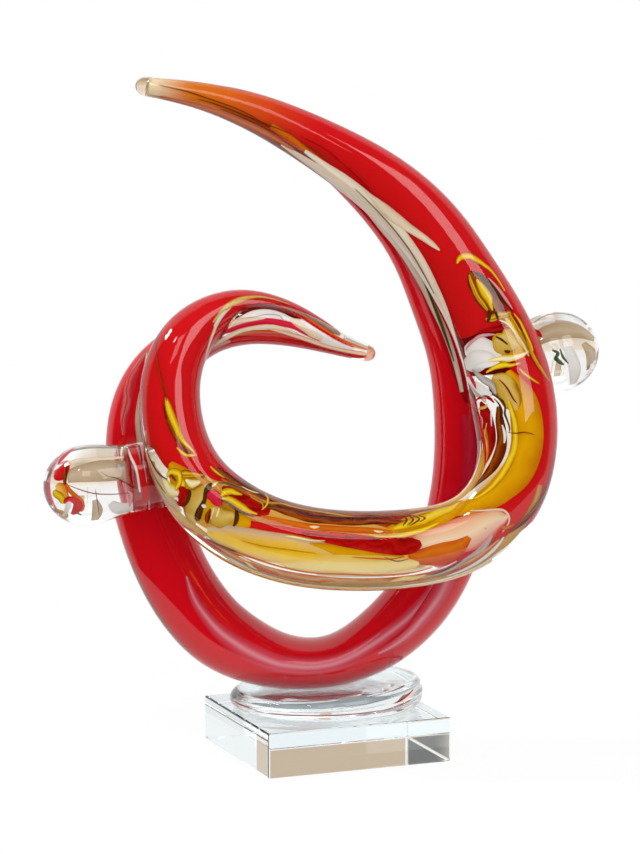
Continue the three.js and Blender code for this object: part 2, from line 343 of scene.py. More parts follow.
def make_mesh(name, verts, faces, material, flat=False):
    mesh = bpy.data.meshes.new(name)
    mesh.from_pydata(verts, [], faces)
    mesh.validate()
    mesh.materials.append(material)
    mesh.polygons.foreach_set("use_smooth", [not flat] * len(mesh.polygons))
    piece = bpy.data.objects.new(name, mesh)
    bpy.context.scene.collection.objects.link(piece)
    return piece


def band_faces(start, rings, count):
    """The sides between rings of points that follow each other, from the point numbered start."""
    faces = []
    for first in range(start, start + (rings - 1) * count, count):
        for k in range(count):
            a, b = first + k, first + (k + 1) % count
            faces.append((a, b, b + count, a + count))
    return faces


def tube_faces(start, rings, count):
    """The sides between rings of points, with a cap on the first ring and on the last one."""
    last = start + (rings - 1) * count
    caps = [tuple(range(start + count - 1, start - 1, -1)), tuple(range(last, last + count))]
    return band_faces(start, rings, count) + caps


def sweep(name, route, first, last, section, material, per_station=RINGS_PER_STATION, shift=0):
    """A closed solid that carries a section along a route, with its ends shifted outwards, in mm."""
    steps = max(2, round((last - first) * per_station))
    verts = []
    for i in range(steps + 1):
        station = first + (last - first) * i / steps
        place = route.at(station)
        push = -shift if i == 0 else shift if i == steps else 0
        ring = section(place, station)
        verts += [place.point(u, v, push) for u, v in ring]
    piece = make_mesh(name, verts, tube_faces(0, steps + 1, len(ring)), material)
    for face in list(piece.data.polygons)[-2:]:
        face.use_smooth = False
    return piece


def wall_at(place, margin):
    """The clear glass over the colour, which is thinner where the strand is thin."""
    return min(margin, 0.35 * min(place.across, place.deep))


def round_section(margin):
    def section(place, station):
        turns = [2 * math.pi * k / RING_POINTS for k in range(RING_POINTS)]
        a, b = place.across - margin, place.deep - margin
        return [(a * math.cos(t), b * math.sin(t)) for t in turns]

    return section


def body_section(margin):
    def section(place, station):
        return round_section(wall_at(place, margin))(place, station)

    return section


def sheet_section(table, margin, thickness):
    """A layer that follows the outside of the strand between two angles and thins out at its edges."""
    edge, deepest_share = 0.04, 0.85

    def section(place, station):
        start = math.radians(keyed(table, station, 1))
        end = math.radians(keyed(table, station, 2))
        wall = wall_at(place, margin)
        outer, inner = [], []
        for k in range(LAYER_STEPS + 1):
            turn = start + (end - start) * k / LAYER_STEPS
            deep = wall + edge + thickness * math.sin(math.pi * k / LAYER_STEPS) ** 0.5
            deep = min(deep, deepest_share * min(place.across, place.deep))
            c, s = math.cos(turn), math.sin(turn)
            outer.append(((place.across - wall) * c, (place.deep - wall) * s))
            inner.append(((place.across - deep) * c, (place.deep - deep) * s))
        return outer + inner[::-1]

    return section


def cut(piece, *cutters):
    """Takes the cutters out of a piece."""
    for cutter in cutters:
        modifier = piece.modifiers.new("cut", "BOOLEAN")
        modifier.operation = "DIFFERENCE"
        modifier.solver = "MANIFOLD"
        modifier.object = cutter
    graph = bpy.context.evaluated_depsgraph_get()
    mesh = bpy.data.meshes.new_from_object(piece.evaluated_get(graph))
    piece.modifiers.clear()
    piece.data = mesh
    return piece


def crease(piece):
    piece.data.polygons.foreach_set("use_smooth", [True] * len(piece.data.polygons))
    piece.data.set_sharp_from_angle(angle=math.radians(CREASE))
    return piece


def turned(profile, slices, start=0):
    """Points and faces of a closed turned form about Z, from (radius, height) points that start
    and end on the axis. Its first point is numbered start."""
    verts = [(0, 0, profile[0][1])]
    for radius, height in profile[1:-1]:
        turns = [2 * math.pi * k / slices for k in range(slices)]
        verts += [(radius * math.cos(t), radius * math.sin(t), height) for t in turns]
    verts.append((0, 0, profile[-1][1]))
    faces = band_faces(start + 1, len(profile) - 2, slices)
    top = start + len(verts) - 1
    for k in range(slices):
        n = (k + 1) % slices
        faces.append((start, start + 1 + n, start + 1 + k))
        faces.append((top - slices + k, top - slices + n, top))
    return verts, faces


# Node helpers


def new_material(name):
    """A material, its nodes and links, and the socket that takes its surface."""
    material = bpy.data.materials.new(name)
    material.use_nodes = True
    nodes = material.node_tree.nodes
    nodes.clear()
    out = nodes.new("ShaderNodeOutputMaterial")
    return material, nodes, material.node_tree.links, out.inputs["Surface"]


def add_node(nodes, kind, settings):
    node = nodes.new(kind)
    for name, value in settings.items():
        node.inputs[name].default_value = value
    return node


def noise(nodes, links, vector, scale, detail):
    node = add_node(nodes, "ShaderNodeTexNoise", {"Scale": scale, "Detail": detail})
    links.new(vector, node.inputs["Vector"])
    return node.outputs["Fac"]


def attribute(nodes, name):
    node = nodes.new("ShaderNodeAttribute")
    node.attribute_name = name
    return node.outputs["Fac"]


def ramp(nodes, links, factor, stops):
    node = nodes.new("ShaderNodeValToRGB")
    while len(node.color_ramp.elements) < len(stops):
        node.color_ramp.elements.new(0.5)
    for element, (position, colour) in zip(node.color_ramp.elements, stops):
        element.position = position
        element.color = (*colour, 1)
    links.new(factor, node.inputs["Fac"])
    return node.outputs["Color"]


def feed(links, socket, value):
    """Gives a socket a number, a colour or another node's output."""
    if isinstance(value, (int, float)):
        socket.default_value = value
    elif isinstance(value, tuple):
        socket.default_value = (*value, 1)
    else:
        links.new(value, socket)


def calculate(nodes, links, operation, *values, clamp=False):
    node = nodes.new("ShaderNodeMath")
    node.operation = operation
    node.use_clamp = clamp
    for socket, value in zip(node.inputs, values):
        feed(links, socket, value)
    return node.outputs[0]


def mix_colours(nodes, links, factor, a, b):
    node = nodes.new("ShaderNodeMix")
    node.data_type = "RGBA"
    links.new(factor, node.inputs["Factor"])
    feed(links, node.inputs[6], a)
    feed(links, node.inputs[7], b)
    return node.outputs[2]


def fade_out(nodes, links, value, first, last):
    """1 up to the first value and 0 from the last one, with a smooth change between them."""
    limits = {"From Min": first, "From Max": last, "To Min": 1, "To Max": 0}
    node = add_node(nodes, "ShaderNodeMapRange", limits)
    node.interpolation_type = "SMOOTHSTEP"
    links.new(value, node.inputs["Value"])
    return node.outputs["Result"]


def principled(nodes, links, colour, settings):
    shader = add_node(nodes, "ShaderNodeBsdfPrincipled", settings)
    links.new(colour, shader.inputs["Base Color"])
    return shader


def glass(name, tint, ior, wave=0.0, wave_scale=30.0):
    """Clear glass whose tint wanders a little, with a faint waviness of its surface."""
    material, nodes, links, surface = new_material(name)
    coordinates = nodes.new("ShaderNodeTexCoord")
    cloud = noise(nodes, links, coordinates.outputs["Object"], wave_scale, 1.5)
    wander = 0.015
    pale = tuple(min(1, c + wander) for c in tint)
    colour = ramp(nodes, links, cloud, [(0.3, tint), (0.7, pale)])
    clear = {"Transmission Weight": 1, "Roughness": 0, "IOR": ior}
    shader = principled(nodes, links, colour, clear)
    if wave:
        bump = add_node(nodes, "ShaderNodeBump", {"Strength": wave, "Distance": 0.001})
        links.new(cloud, bump.inputs["Height"])
        links.new(bump.outputs["Normal"], shader.inputs["Normal"])
    links.new(shader.outputs["BSDF"], surface)
    return material


def linear(value):
    """A channel from 0 to 255, as seen on a screen, in light."""
    c = value / 255
    return c / 12.92 if c <= 0.04045 else ((c + 0.055) / 1.055) ** 2.4


def under_glass(colour):
    """The colour that a layer needs to be seen as this one through the clear casing, which keeps
    part of the light in and so deepens it, and which adds a little haze of its own."""
    haze, least = 0.006, 0.0005
    lit = 0.92 * 1.1  # what passes the casing, times the level of the light
    kept = 1.25  # what the casing keeps in for each part that it lets out
    light = [max(linear(c) - haze, least) for c in colour]
    return tuple(min((1 + kept) * c / (lit + kept * c), 1) for c in light)


def folds(name, stops, clear, warp, scale, stretch=(1.0, 1.0, 1.0)):
    """Colour fused inside clear glass, in bands across a layer that wander like pulled folds.
    It bends no light, lets a share of it through tinted and scatters the rest."""
    material, nodes, links, surface = new_material(name)
    coordinates = nodes.new("ShaderNodeTexCoord")
    mapping = add_node(nodes, "ShaderNodeMapping", {"Scale": stretch})
    links.new(coordinates.outputs["Object"], mapping.inputs["Vector"])
    streak = noise(nodes, links, mapping.outputs["Vector"], scale, 3)
    shifted = calculate(nodes, links, "SUBTRACT", streak, 0.5)
    shifted = calculate(nodes, links, "MULTIPLY", shifted, warp * 2)
    shifted = calculate(nodes, links, "ADD", shifted, attribute(nodes, "across"))
    stops = [(position, under_glass(colour)) for position, colour in stops]
    colour = ramp(nodes, links, shifted, stops)
    fused = {"Transmission Weight": clear, "Roughness": 0, "IOR": 1.0}
    shader = principled(nodes, links, colour, fused)
    links.new(shader.outputs["BSDF"], surface)
    return material


def warm_the_tip(material, first, last, warm):
    """Lets a colour go over to another one towards the drawn-off end of the strand."""
    nodes, links = material.node_tree.nodes, material.node_tree.links
    shader = next(n for n in nodes if n.type == "BSDF_PRINCIPLED")
    colour = shader.inputs["Base Color"].links[0].from_socket
    fade = fade_out(nodes, links, attribute(nodes, "station"), first, last)
    mixed = mix_colours(nodes, links, fade, colour, under_glass(warm))
    links.new(mixed, shader.inputs["Base Color"])


def add_depth(material, colour, density):
    """Absorption, so that the glass is deeper in colour where it is thicker."""
    nodes, links = material.node_tree.nodes, material.node_tree.links
    settings = {"Color": (*colour, 1), "Density": density}
    volume = add_node(nodes, "ShaderNodeVolumeAbsorption", settings)
    out = next(n for n in nodes if n.type == "OUTPUT_MATERIAL")
    links.new(volume.outputs["Volume"], out.inputs["Volume"])


CASING_GLASS = glass("casing_glass", (0.97, 0.965, 0.95), 1.5, wave=0.05, wave_scale=40)
KNOB_GLASS = glass("knob_glass", (0.97, 0.965, 0.955), 1.5, wave=0.08, wave_scale=45)
FOOT_GLASS = glass("foot_glass", (0.93, 0.97, 0.98), 1.5, wave=0.1, wave_scale=60)
BLOCK_GLASS = glass("block_glass", (0.92, 0.965, 0.975), 1.52)
TIP_GLASS = glass("tip_glass", (0.88, 0.72, 0.58), 1.5, wave=0.05, wave_scale=60)
HOOK_GLASS = glass("hook_glass", (0.82, 0.42, 0.32), 1.5, wave=0.05, wave_scale=60)
GLUE = glass("glue", (0.97, 0.98, 0.97), 1.5, wave=0.2, wave_scale=200)
BUBBLE = glass("seed_bubble", (0.98, 0.98, 0.98), 0.667)  # 1 / 1.5: air inside glass

RED_STOPS = [(0.0, (176, 26, 22)), (0.15, (192, 24, 26)), (0.6, (196, 27, 30)), (1.0, (180, 24, 24))]
CRIMSON_STOPS = [(0.2, (222, 22, 30)), (0.5, (232, 26, 42)), (0.8, (224, 24, 34))]
AMBER_STOPS = [(0.3, (250, 244, 225)), (0.7, (255, 250, 235))]
ALONG = (1.0, 1.0, 0.35)
RED = folds("red", RED_STOPS, 0.06, 0.3, 25, ALONG)
TIP_RED = folds("red_and_orange", RED_STOPS, 0.06, 0.3, 25, ALONG)
warm_the_tip(TIP_RED, 0.5, 3.0, (206, 98, 28))
warm_the_tip(TIP_RED, 0.0, 0.9, (232, 204, 156))
CRIMSON = folds("crimson", CRIMSON_STOPS, 0.04, 0.9, 18)
AMBER = folds("amber_body", AMBER_STOPS, 1.0, 0.5, 18)
add_depth(AMBER, (0.90, 0.66, 0.02), 330)

# Paints for the streaks: stops across the stroke, clear share, warp, scale
PAINTS = {
    "yellow": ([(0, (150, 80, 6)), (0.22, (228, 165, 12)), (0.5, (255, 218, 45)), (0.8, (236, 172, 14)),
                (1, (150, 80, 8))], 0.12, 0.25, 90),
    "bright": ([(0, (232, 168, 24)), (0.35, (255, 240, 150)), (0.6, (255, 250, 215)),
                (1, (240, 190, 45))], 0.1, 0.2, 90),
    "gold": ([(0, (96, 46, 8)), (0.2, (196, 124, 14)), (0.38, (244, 192, 44)), (0.5, (208, 138, 14)),
              (0.62, (136, 74, 10)), (0.75, (230, 168, 34)), (1, (112, 60, 10))], 0.15, 0.45, 90),
    "amber": ([(0, (186, 104, 6)), (0.3, (214, 134, 9)), (0.6, (226, 150, 14)), (1, (200, 118, 7))],
              0.15, 0.35, 60),
    "brown": ([(0, (64, 22, 8)), (0.35, (100, 38, 10)), (0.6, (140, 62, 14)), (1, (76, 26, 8))],
              0.1, 0.6, 110),
    "dark": ([(0, (52, 28, 12)), (0.5, (74, 44, 20)), (1, (56, 28, 10))], 0.1, 0.4, 110),
    "olive": ([(0, (112, 96, 54)), (0.5, (62, 54, 26)), (1, (108, 92, 52))], 0.1, 0.4, 110),
    "orange": ([(0, (188, 66, 24)), (0.4, (214, 98, 28)), (0.7, (204, 84, 24)), (1, (188, 56, 24))],
               0.12, 0.5, 70),
    "red": (RED_STOPS, 0.06, 0.4, 60),
    "deep_red": ([(0, (112, 14, 12)), (0.4, (164, 24, 22)), (0.6, (140, 18, 16)), (1, (170, 30, 26))],
                 0.1, 0.8, 120),
    "crimson": ([(0, (192, 26, 42)), (0.5, (206, 36, 56)), (1, (192, 26, 42))], 0.06, 0.3, 60),
    # A pink sheen painted in bands over the red, as painted highlights.
    "haze": ([(0, (194, 40, 44)), (0.3, (206, 84, 84)), (0.5, (196, 46, 48)), (0.7, (212, 104, 100)),
              (1, (194, 40, 44))], 0.1, 0.9, 60),
    "pink": ([(0, (206, 92, 102)), (0.5, (230, 152, 156)), (1, (212, 104, 112))], 0.15, 0.5, 80),
    "beige": ([(0, (206, 164, 122)), (0.25, (240, 210, 170)), (0.6, (250, 228, 194)),
               (1, (218, 180, 138))], 0.12, 0.35, 80),
    "pane": ([(0, (138, 90, 26)), (0.12, (198, 148, 54)), (0.35, (222, 180, 92)), (0.6, (204, 156, 62)),
              (0.88, (190, 138, 48)), (1, (126, 78, 24))], 0.15, 0.4, 60),
    "lens": ([(0, (222, 170, 104)), (0.25, (242, 176, 58)), (0.5, (255, 182, 36)),
              (0.75, (255, 200, 70)), (1, (238, 186, 112))], 0.1, 0.3, 30),
    "pale": ([(0, (244, 182, 68)), (0.4, (255, 216, 118)), (0.7, (255, 226, 142)), (1, (248, 196, 92))],
             0.1, 0.3, 40),
    "ember": ([(0, (196, 84, 44)), (0.3, (222, 128, 70)), (0.5, (232, 168, 112)), (0.7, (214, 112, 58)),
               (1, (190, 66, 38))], 0.2, 0.9, 60),
    "rose": ([(0, (198, 30, 42)), (0.3, (214, 66, 80)), (0.5, (238, 132, 144)), (0.7, (214, 66, 80)),
              (1, (200, 34, 46))], 0.04, 0.15, 20),
    "ivory": ([(0, (236, 206, 168)), (0.3, (255, 238, 208)), (0.55, (255, 246, 222)),
               (1, (232, 200, 160))], 0.04, 0.35, 60),
    "mauve": ([(0, (196, 150, 118)), (0.5, (214, 178, 140)), (1, (202, 160, 116))], 0.15, 0.4, 60),
    "milk": ([(0, (222, 212, 202)), (0.25, (250, 249, 247)), (0.75, (255, 255, 255)),
              (1, (234, 228, 222))], 0.15, 0.2, 90),
    "grey": ([(0, (140, 130, 120)), (0.5, (190, 184, 176)), (1, (136, 120, 110))], 0.2, 0.6, 110),
    "honey": ([(0, (196, 132, 48)), (0.3, (224, 172, 84)), (0.6, (206, 150, 66)), (1, (186, 130, 66))],
              0.35, 0.6, 60),
    "salmon": ([(0, (214, 96, 62)), (0.2, (232, 160, 120)), (0.5, (255, 216, 168)),
                (0.8, (234, 166, 142)), (1, (196, 60, 52))], 0.1, 0.15, 40),
    # The next four paints are painted reflections of the room in the clear knobs and foot: tan panels,
    # dark grey edges, a grey-blue band and a green plant.
    "tan": ([(0, (170, 144, 112)), (0.5, (206, 182, 150)), (1, (176, 150, 118))], 0.45, 0.4, 60),
    "smoke_reflection": ([(0, (112, 102, 92)), (0.5, (156, 148, 138)), (1, (118, 108, 98))], 0.4, 0.5, 90),
    "ice_reflection": ([(0, (150, 160, 164)), (0.5, (176, 188, 194)), (1, (156, 166, 172))], 0.3, 0.5, 60),
    "leaf_reflection": ([(0, (44, 62, 40)), (0.5, (74, 96, 66)), (1, (40, 52, 36))], 0.1, 0.8, 160),
    # Painted glints, orange to pale yellow.
    "painted_glow": ([(0, (216, 72, 30)), (0.5, (250, 168, 62)), (1, (252, 226, 92))], 0.2, 0.3, 60),
}


# Pieces


def mark(piece, name, values):
    """Keeps a value for each point on the mesh, for the materials."""
    kept = piece.data.attributes.new(name, "FLOAT", "POINT")
    kept.data.foreach_set("value", values)


def there_and_back(steps):
    """Shares across a ring of points that goes over a layer's outside and back over its inside."""
    half = [k / steps for k in range(steps + 1)]
    return half + half[::-1]


def layer(name, route, table, depth, thickness, material, cutters=()):
    """A coloured layer inside a strand, at a depth under its surface."""
    first, last = table[0][0], table[-1][0]
    section = sheet_section(table, depth, thickness)
    piece = sweep(name, route, first, last, section, material, LAYER_RINGS_PER_STATION)
    shares = there_and_back(LAYER_STEPS)
    count = len(piece.data.vertices)
    rings = count // len(shares)
    mark(piece, "across", shares * rings)
    length = last - first
    mark(piece, "station", [first + length * (i // len(shares)) / (rings - 1) for i in range(count)])
    if cutters:
        crease(cut(piece, *cutters))
    return piece


def smooth_path(points):
    """A flowing line through the points of a stroke."""
    ends = [points[0], *points, points[-1]]
    path = []
    for p, q, r, s in zip(ends, ends[1:], ends[2:], ends[3:]):
        for k in range(STROKE_PARTS):
            path.append([flow(*values, k / STROKE_PARTS) for values in zip(p, q, r, s)])
    return [*path, list(points[-1])]


def flow(a, b, c, d, t):
    """A uniform Catmull-Rom curve from b to c."""
    square, cube = 2 * a - 5 * b + 4 * c - d, 3 * b - a - 3 * c + d
    return 0.5 * (2 * b + (c - a) * t + square * t**2 + cube * t**3)


def stroke_ring(route, depth, path, i):
    """The ring of points round a ribbon of colour at a place of its path."""
    thinnest, slim, reach = 0.12, 8, 0.3
    rim, swell = 0.05, 0.35
    station, angle, half_width = path[i]
    place = route.at(station)
    chord = route.at(station + reach).centre - route.at(station - reach).centre
    mm_per_station = max(chord.length / (2 * reach), 0.5)
    mm_per_degree = math.radians((place.across + place.deep) / 2)
    before, after = path[max(i - 1, 0)], path[min(i + 1, len(path) - 1)]
    run, turn = (after[0] - before[0]) * mm_per_station, (after[1] - before[1]) * mm_per_degree
    length = max(math.hypot(run, turn), 1e-6)
    wide = max(half_width, thinnest)
    scale = min(1, min(place.across, place.deep) / slim)
    outer, inner = [], []
    for k in range(STROKE_STEPS + 1):
        side = 2 * k / STROKE_STEPS - 1
        spot = route.at(station - turn / length * wide * side / mm_per_station)
        t = math.radians(angle + run / length * wide * side / mm_per_degree)
        thick = rim + swell * math.sqrt(max(1 - side * side, 0))
        for ring, deep in ((outer, depth * scale), (inner, (depth + thick) * scale)):
            u, v = (spot.across - deep) * math.cos(t), (spot.deep - deep) * math.sin(t)
            ring.append(spot.point(u, v))
    return outer + inner[::-1]


def add_stroke(verts, faces, across, route, depth, points):
    """One ribbon of colour at a depth under the surface, as a closed solid."""
    path = smooth_path(points)
    shares = there_and_back(STROKE_STEPS)
    faces += tube_faces(len(verts), len(path), len(shares))
    for i in range(len(path)):
        verts += stroke_ring(route, depth, path, i)
        across += shares


# Streaks, panes and lines in the glass, like brush strokes under the surface, among them painted glints
# and painted reflections:
# the paint, then station, angle and half width in mm along the stroke
FRONT_STROKES = {
    "crescent": [
        ("brown", [(0.4, 170, 1.5), (1, 170, 3), (1.6, 168, 4), (2.2, 164, 4.5), (2.7, 160, 4),
                   (3, 156, 2)]),
        ("ivory", [(2.5, 150, 1), (2.9, 152, 3.5), (3.4, 154, 5), (4, 158, 6), (4.6, 162, 6),
                   (5.2, 166, 6), (5.8, 170, 6), (6.4, 174, 5), (7, 178, 4), (7.6, 180, 2)]),
        ("orange", [(0.3, 148, 1), (0.9, 148, 2), (1.5, 144, 2.5), (2.1, 140, 2.5), (2.7, 138, 1)]),
        ("brown", [(1, 104, 0.2), (1.6, 108, 0.5), (2.2, 110, 0.6), (2.8, 107, 0.5), (3.3, 105, 0.2)]),
        ("brown", [(1.4, 120, 0.2), (2, 121, 0.5), (2.6, 120, 0.4), (3, 118, 0.2)]),
        ("orange", [(2.25, 104, 2), (2.6, 112, 2.2), (2.95, 118, 1.6), (3.3, 120, 1), (3.55, 122, 0.4)]),
        ("ivory", [(2.85, 120, 1.2), (3.15, 124, 2), (3.5, 124, 2.6), (3.85, 126, 3), (4.15, 128, 3.2),
                   (4.55, 132, 3.2), (4.95, 136, 3.2), (5.4, 140, 3.2), (5.85, 146, 3.2), (6.3, 152, 3),
                   (6.75, 160, 2.6), (7.25, 168, 2.2), (7.75, 170, 1.8), (8.45, 174, 1.2)]),
        ("beige", [(3.85, 118, 0.4), (4.05, 120, 1.6), (4.3, 122, 3.2), (4.55, 120, 3.2), (4.8, 114, 2.4),
                   (5.05, 106, 1.8), (5.25, 100, 1.4), (5.4, 96, 0.4)]),
        ("brown", [(0.25, 66, 0.2), (0.75, 78, 0.4), (1.2, 90, 0.4), (1.75, 96, 0.35), (2.1, 104, 0.3),
                   (2.55, 98, 0.2)]),
        ("deep_red", [(2.7, 92, 0.2), (3.1, 90, 0.5), (3.4, 98, 0.5), (3.7, 104, 0.5), (3.9, 110, 0.5),
                      (4, 112, 0.2)]),
        ("olive", [(3.75, 128, 0.15), (4.2, 135, 0.4), (4.7, 141, 0.4), (5.15, 146, 0.5), (5.6, 152, 0.5),
                   (6, 158, 0.3)]),
    ],
    "flame": [
        ("brown", [(6, 74, 0.8), (6.15, 72, 4.5), (6.45, 70, 6.5), (6.75, 68, 6.8), (7, 64, 4.5),
                   (7.2, 60, 1.5)]),
        ("gold", [(6.05, 76, 0.6), (6.2, 80, 1.2), (6.5, 84, 1.4), (6.8, 82, 1), (7, 80, 0.3)]),
        ("yellow", [(6.2, 70, 0.6), (6.4, 70, 2.2), (6.65, 70, 2.6), (6.8, 72, 1.4), (6.95, 74, 0.5)]),
        ("dark", [(6.05, 68, 0.4), (6.2, 58, 1), (6.5, 52, 1.3), (6.75, 48, 1.4), (7, 44, 1.1),
                  (7.15, 42, 0.4)]),
        ("pink", [(6.3, 50, 0.3), (6.6, 44, 1), (6.9, 42, 1), (7.1, 40, 0.4)]),
        ("yellow", [(5.75, 84, 0.5), (5.7, 74, 1.6), (5.75, 60, 1.8), (5.85, 52, 1.6), (6.05, 42, 1.3),
                    (6.2, 36, 1.2), (6.4, 34, 0.9), (6.7, 34, 0.5)]),
        ("gold", [(7.05, 90, 0.6), (7.1, 82, 2), (7.1, 72, 2.4), (7.15, 60, 1.8), (7.15, 48, 0.8)]),
        ("dark", [(6.9, 80, 0.4), (7.05, 84, 1), (7.15, 90, 0.4)]),
        ("dark", [(6.95, 70, 0.3), (7.08, 72, 0.8), (7.2, 74, 0.3)]),
    ],
    "window": [
        ("milk", [(7.5, 152, 2.5), (7.6, 132, 7.5), (7.7, 116, 8.5), (7.8, 102, 5), (8, 92, 1)]),
        ("milk", [(7.8, 166, 3), (7.85, 136, 7), (7.9, 114, 5), (8.05, 98, 1)]),
        ("beige", [(8.2, 170, 1), (8.4, 156, 3), (8.6, 146, 3.4), (8.75, 138, 2), (8.9, 134, 0.6)]),
        ("amber", [(7.45, 86, 1), (7.55, 84, 5), (7.65, 74, 9), (7.75, 62, 9), (7.9, 48, 5),
                   (8.05, 42, 1)]),
        ("pane", [(7.55, 90, 2.4), (7.65, 84, 6.4), (7.72, 74, 7), (7.8, 66, 4), (7.85, 60, 1)]),
        ("pink", [(7.5, 148, 0.4), (7.4, 130, 0.9), (7.35, 112, 1), (7.4, 98, 0.9), (7.45, 88, 0.4)]),
        ("deep_red", [(7.25, 110, 0.5), (7.3, 94, 1.1), (7.35, 84, 1.2), (7.4, 70, 0.8),
                      (7.45, 60, 0.3)]),
        ("gold", [(7.1, 50, 0.6), (7.3, 50, 1.6), (7.5, 48, 2.2), (7.75, 44, 1.8), (7.95, 44, 0.6)]),
        ("yellow", [(7.15, 62, 0.6), (7.35, 58, 1.6), (7.55, 56, 1.8), (7.8, 54, 1.6), (8.05, 50, 0.6)]),
        ("yellow", [(7.2, 42, 0.4), (7.4, 38, 1), (7.65, 38, 1.2), (7.95, 38, 0.8), (8.05, 42, 0.3)]),
        ("beige", [(7.2, 72, 0.3), (7.35, 62, 0.7), (7.6, 56, 0.7), (7.85, 52, 0.7), (8.1, 50, 0.3)]),
        ("brown", [(7.2, 48, 0.3), (7.4, 46, 0.5), (7.65, 44, 0.5), (7.85, 44, 0.3)]),
        ("dark", [(7.5, 88, 0.3), (7.6, 82, 0.6), (7.75, 76, 0.4)]),
        ("dark", [(7.85, 84, 0.4), (7.9, 80, 1), (7.9, 76, 0.4)]),
        ("bright", [(7.95, 112, 0.6), (8, 92, 1.6), (8.05, 80, 1.8), (8.05, 62, 1.2), (8, 48, 0.4)]),
        ("milk", [(7.95, 140, 0.6), (8, 122, 2), (8.05, 108, 1.4), (8.08, 96, 0.4)]),
        ("yellow", [(8.2, 120, 0.5), (8.15, 106, 1.4), (8.15, 92, 1.8), (8.2, 82, 1), (8.2, 68, 0.3)]),
        ("milk", [(8.1, 170, 1), (8.4, 150, 3.2), (8.65, 132, 3.2), (8.75, 120, 1)]),
        ("grey", [(8, 144, 0.5), (8.3, 130, 2), (8.5, 118, 2), (8.75, 114, 0.8)]),
        ("red", [(7.95, 162, 0.4), (8.15, 154, 1.4), (8.35, 148, 1.2), (8.5, 146, 0.4)]),
        ("red", [(8.4, 174, 0.4), (8.6, 170, 1.4), (8.85, 160, 1.6), (9.05, 154, 0.6)]),
        ("deep_red", [(8.8, 158, 0.4), (8.75, 138, 0.8), (8.8, 126, 1), (8.95, 118, 0.4)]),
        ("grey", [(8.3, 164, 0.3), (8.5, 152, 0.5), (8.7, 140, 0.5), (8.8, 128, 0.3)]),
    ],
    "bend": [
        ("amber", [(8.3, 88, 1.5), (8.6, 84, 5), (9, 76, 8), (9.5, 74, 9.5), (10, 76, 9.5), (10.5, 86, 9),
                   (11, 104, 8), (11.5, 120, 7), (12, 136, 5.5), (12.5, 148, 3), (12.9, 156, 1)]),
        ("brown", [(9.05, 114, 1), (9.4, 116, 2.6), (9.8, 116, 3), (10.15, 120, 3.4), (10.55, 130, 3.2),
                   (10.9, 142, 2.4), (11.3, 154, 1.2), (11.7, 162, 0.4)]),
        ("pane", [(8.35, 114, 2), (8.5, 102, 5.5), (8.75, 96, 6.5), (9.05, 92, 5), (9.2, 90, 1.5)]),
        ("yellow", [(8.95, 98, 0.8), (9.35, 94, 1.6), (9.7, 94, 1.8), (10.1, 98, 2), (10.5, 106, 2),
                    (10.9, 116, 1.8), (11.35, 128, 1.4), (11.75, 140, 0.8)]),
        ("deep_red", [(8.85, 144, 1), (9.1, 140, 4), (9.45, 140, 5.4), (9.85, 140, 5), (10.2, 144, 3.4),
                      (10.6, 150, 1)]),
        ("red", [(9.05, 154, 0.5), (9.35, 156, 1.8), (9.75, 154, 1.8), (10.2, 150, 1.2),
                 (10.65, 148, 0.4)]),
        ("dark", [(8.55, 122, 0.3), (8.7, 120, 0.6), (8.85, 112, 0.5), (8.95, 106, 0.7), (9.1, 104, 0.5),
                  (9.25, 106, 0.6), (9.4, 104, 0.5), (9.6, 102, 0.4), (9.7, 104, 0.2)]),
        ("brown", [(8.45, 104, 0.2), (8.6, 98, 0.4), (8.75, 94, 0.5), (8.95, 90, 0.4), (9.05, 86, 0.2)]),
        ("dark", [(8.85, 118, 0.2), (9, 112, 0.5), (9.2, 110, 0.7), (9.4, 114, 0.6), (9.6, 110, 0.5),
                  (9.8, 108, 0.2)]),
        ("brown", [(9.7, 104, 0.2), (9.72, 92, 0.3), (9.7, 80, 0.3), (9.75, 66, 0.15)]),
        # The orange-yellow strokes and the small milk dots below are painted glints.
        ("painted_glow", [(9.05, 154, 0.3), (9, 146, 0.8), (9, 136, 0.9), (8.95, 130, 0.3)]),
        ("painted_glow", [(9.4, 138, 0.3), (9.7, 146, 0.7), (9.9, 144, 0.8), (10.2, 144, 0.3)]),
        ("milk", [(9.1, 126, 0.2), (9.3, 128, 0.5), (9.5, 130, 0.2)]),
        ("pink", [(9.15, 150, 0.2), (9.3, 146, 0.6), (9.5, 150, 0.2)]),
        ("milk", [(9.5, 112, 0.4), (9.75, 110, 0.9), (9.95, 112, 0.4)]),
        ("brown", [(9.8, 2, 1), (10.2, 8, 2.2), (10.7, 16, 2.6), (11.1, 32, 2.4), (11.5, 46, 1.6),
                   (11.75, 54, 0.5)]),
        ("orange", [(8.3, 72, 0.3), (8.45, 66, 1.1), (8.6, 56, 0.9), (8.7, 46, 0.3)]),
        ("yellow", [(8.32, 72, 0.2), (8.45, 66, 0.6), (8.6, 56, 0.5), (8.68, 48, 0.2)]),
        ("gold", [(7.8, 44, 0.4), (8.05, 44, 1.2), (8.3, 38, 1.4), (8.5, 30, 1), (8.65, 20, 0.4)]),
        ("orange", [(11.6, 58, 0.4), (11.75, 66, 1), (11.8, 74, 0.4)]),
    ],
    "loop": [
        ("brown", [(18, 178, 2), (17.4, 178, 6), (16.6, 178, 7), (15.8, 178, 7), (15, 178, 7),
                   (14.3, 178, 6.5), (13.7, 178, 5), (13.2, 178, 2)]),
        ("orange", [(13.9, 90, 1.5), (13.6, 84, 5), (13.2, 82, 6.5), (12.85, 84, 5), (12.5, 92, 1.5)]),
        ("amber", [(14.3, 132, 2), (13.9, 140, 5), (13.5, 144, 7), (13, 150, 7), (12.5, 152, 6),
                   (12.1, 150, 3)]),
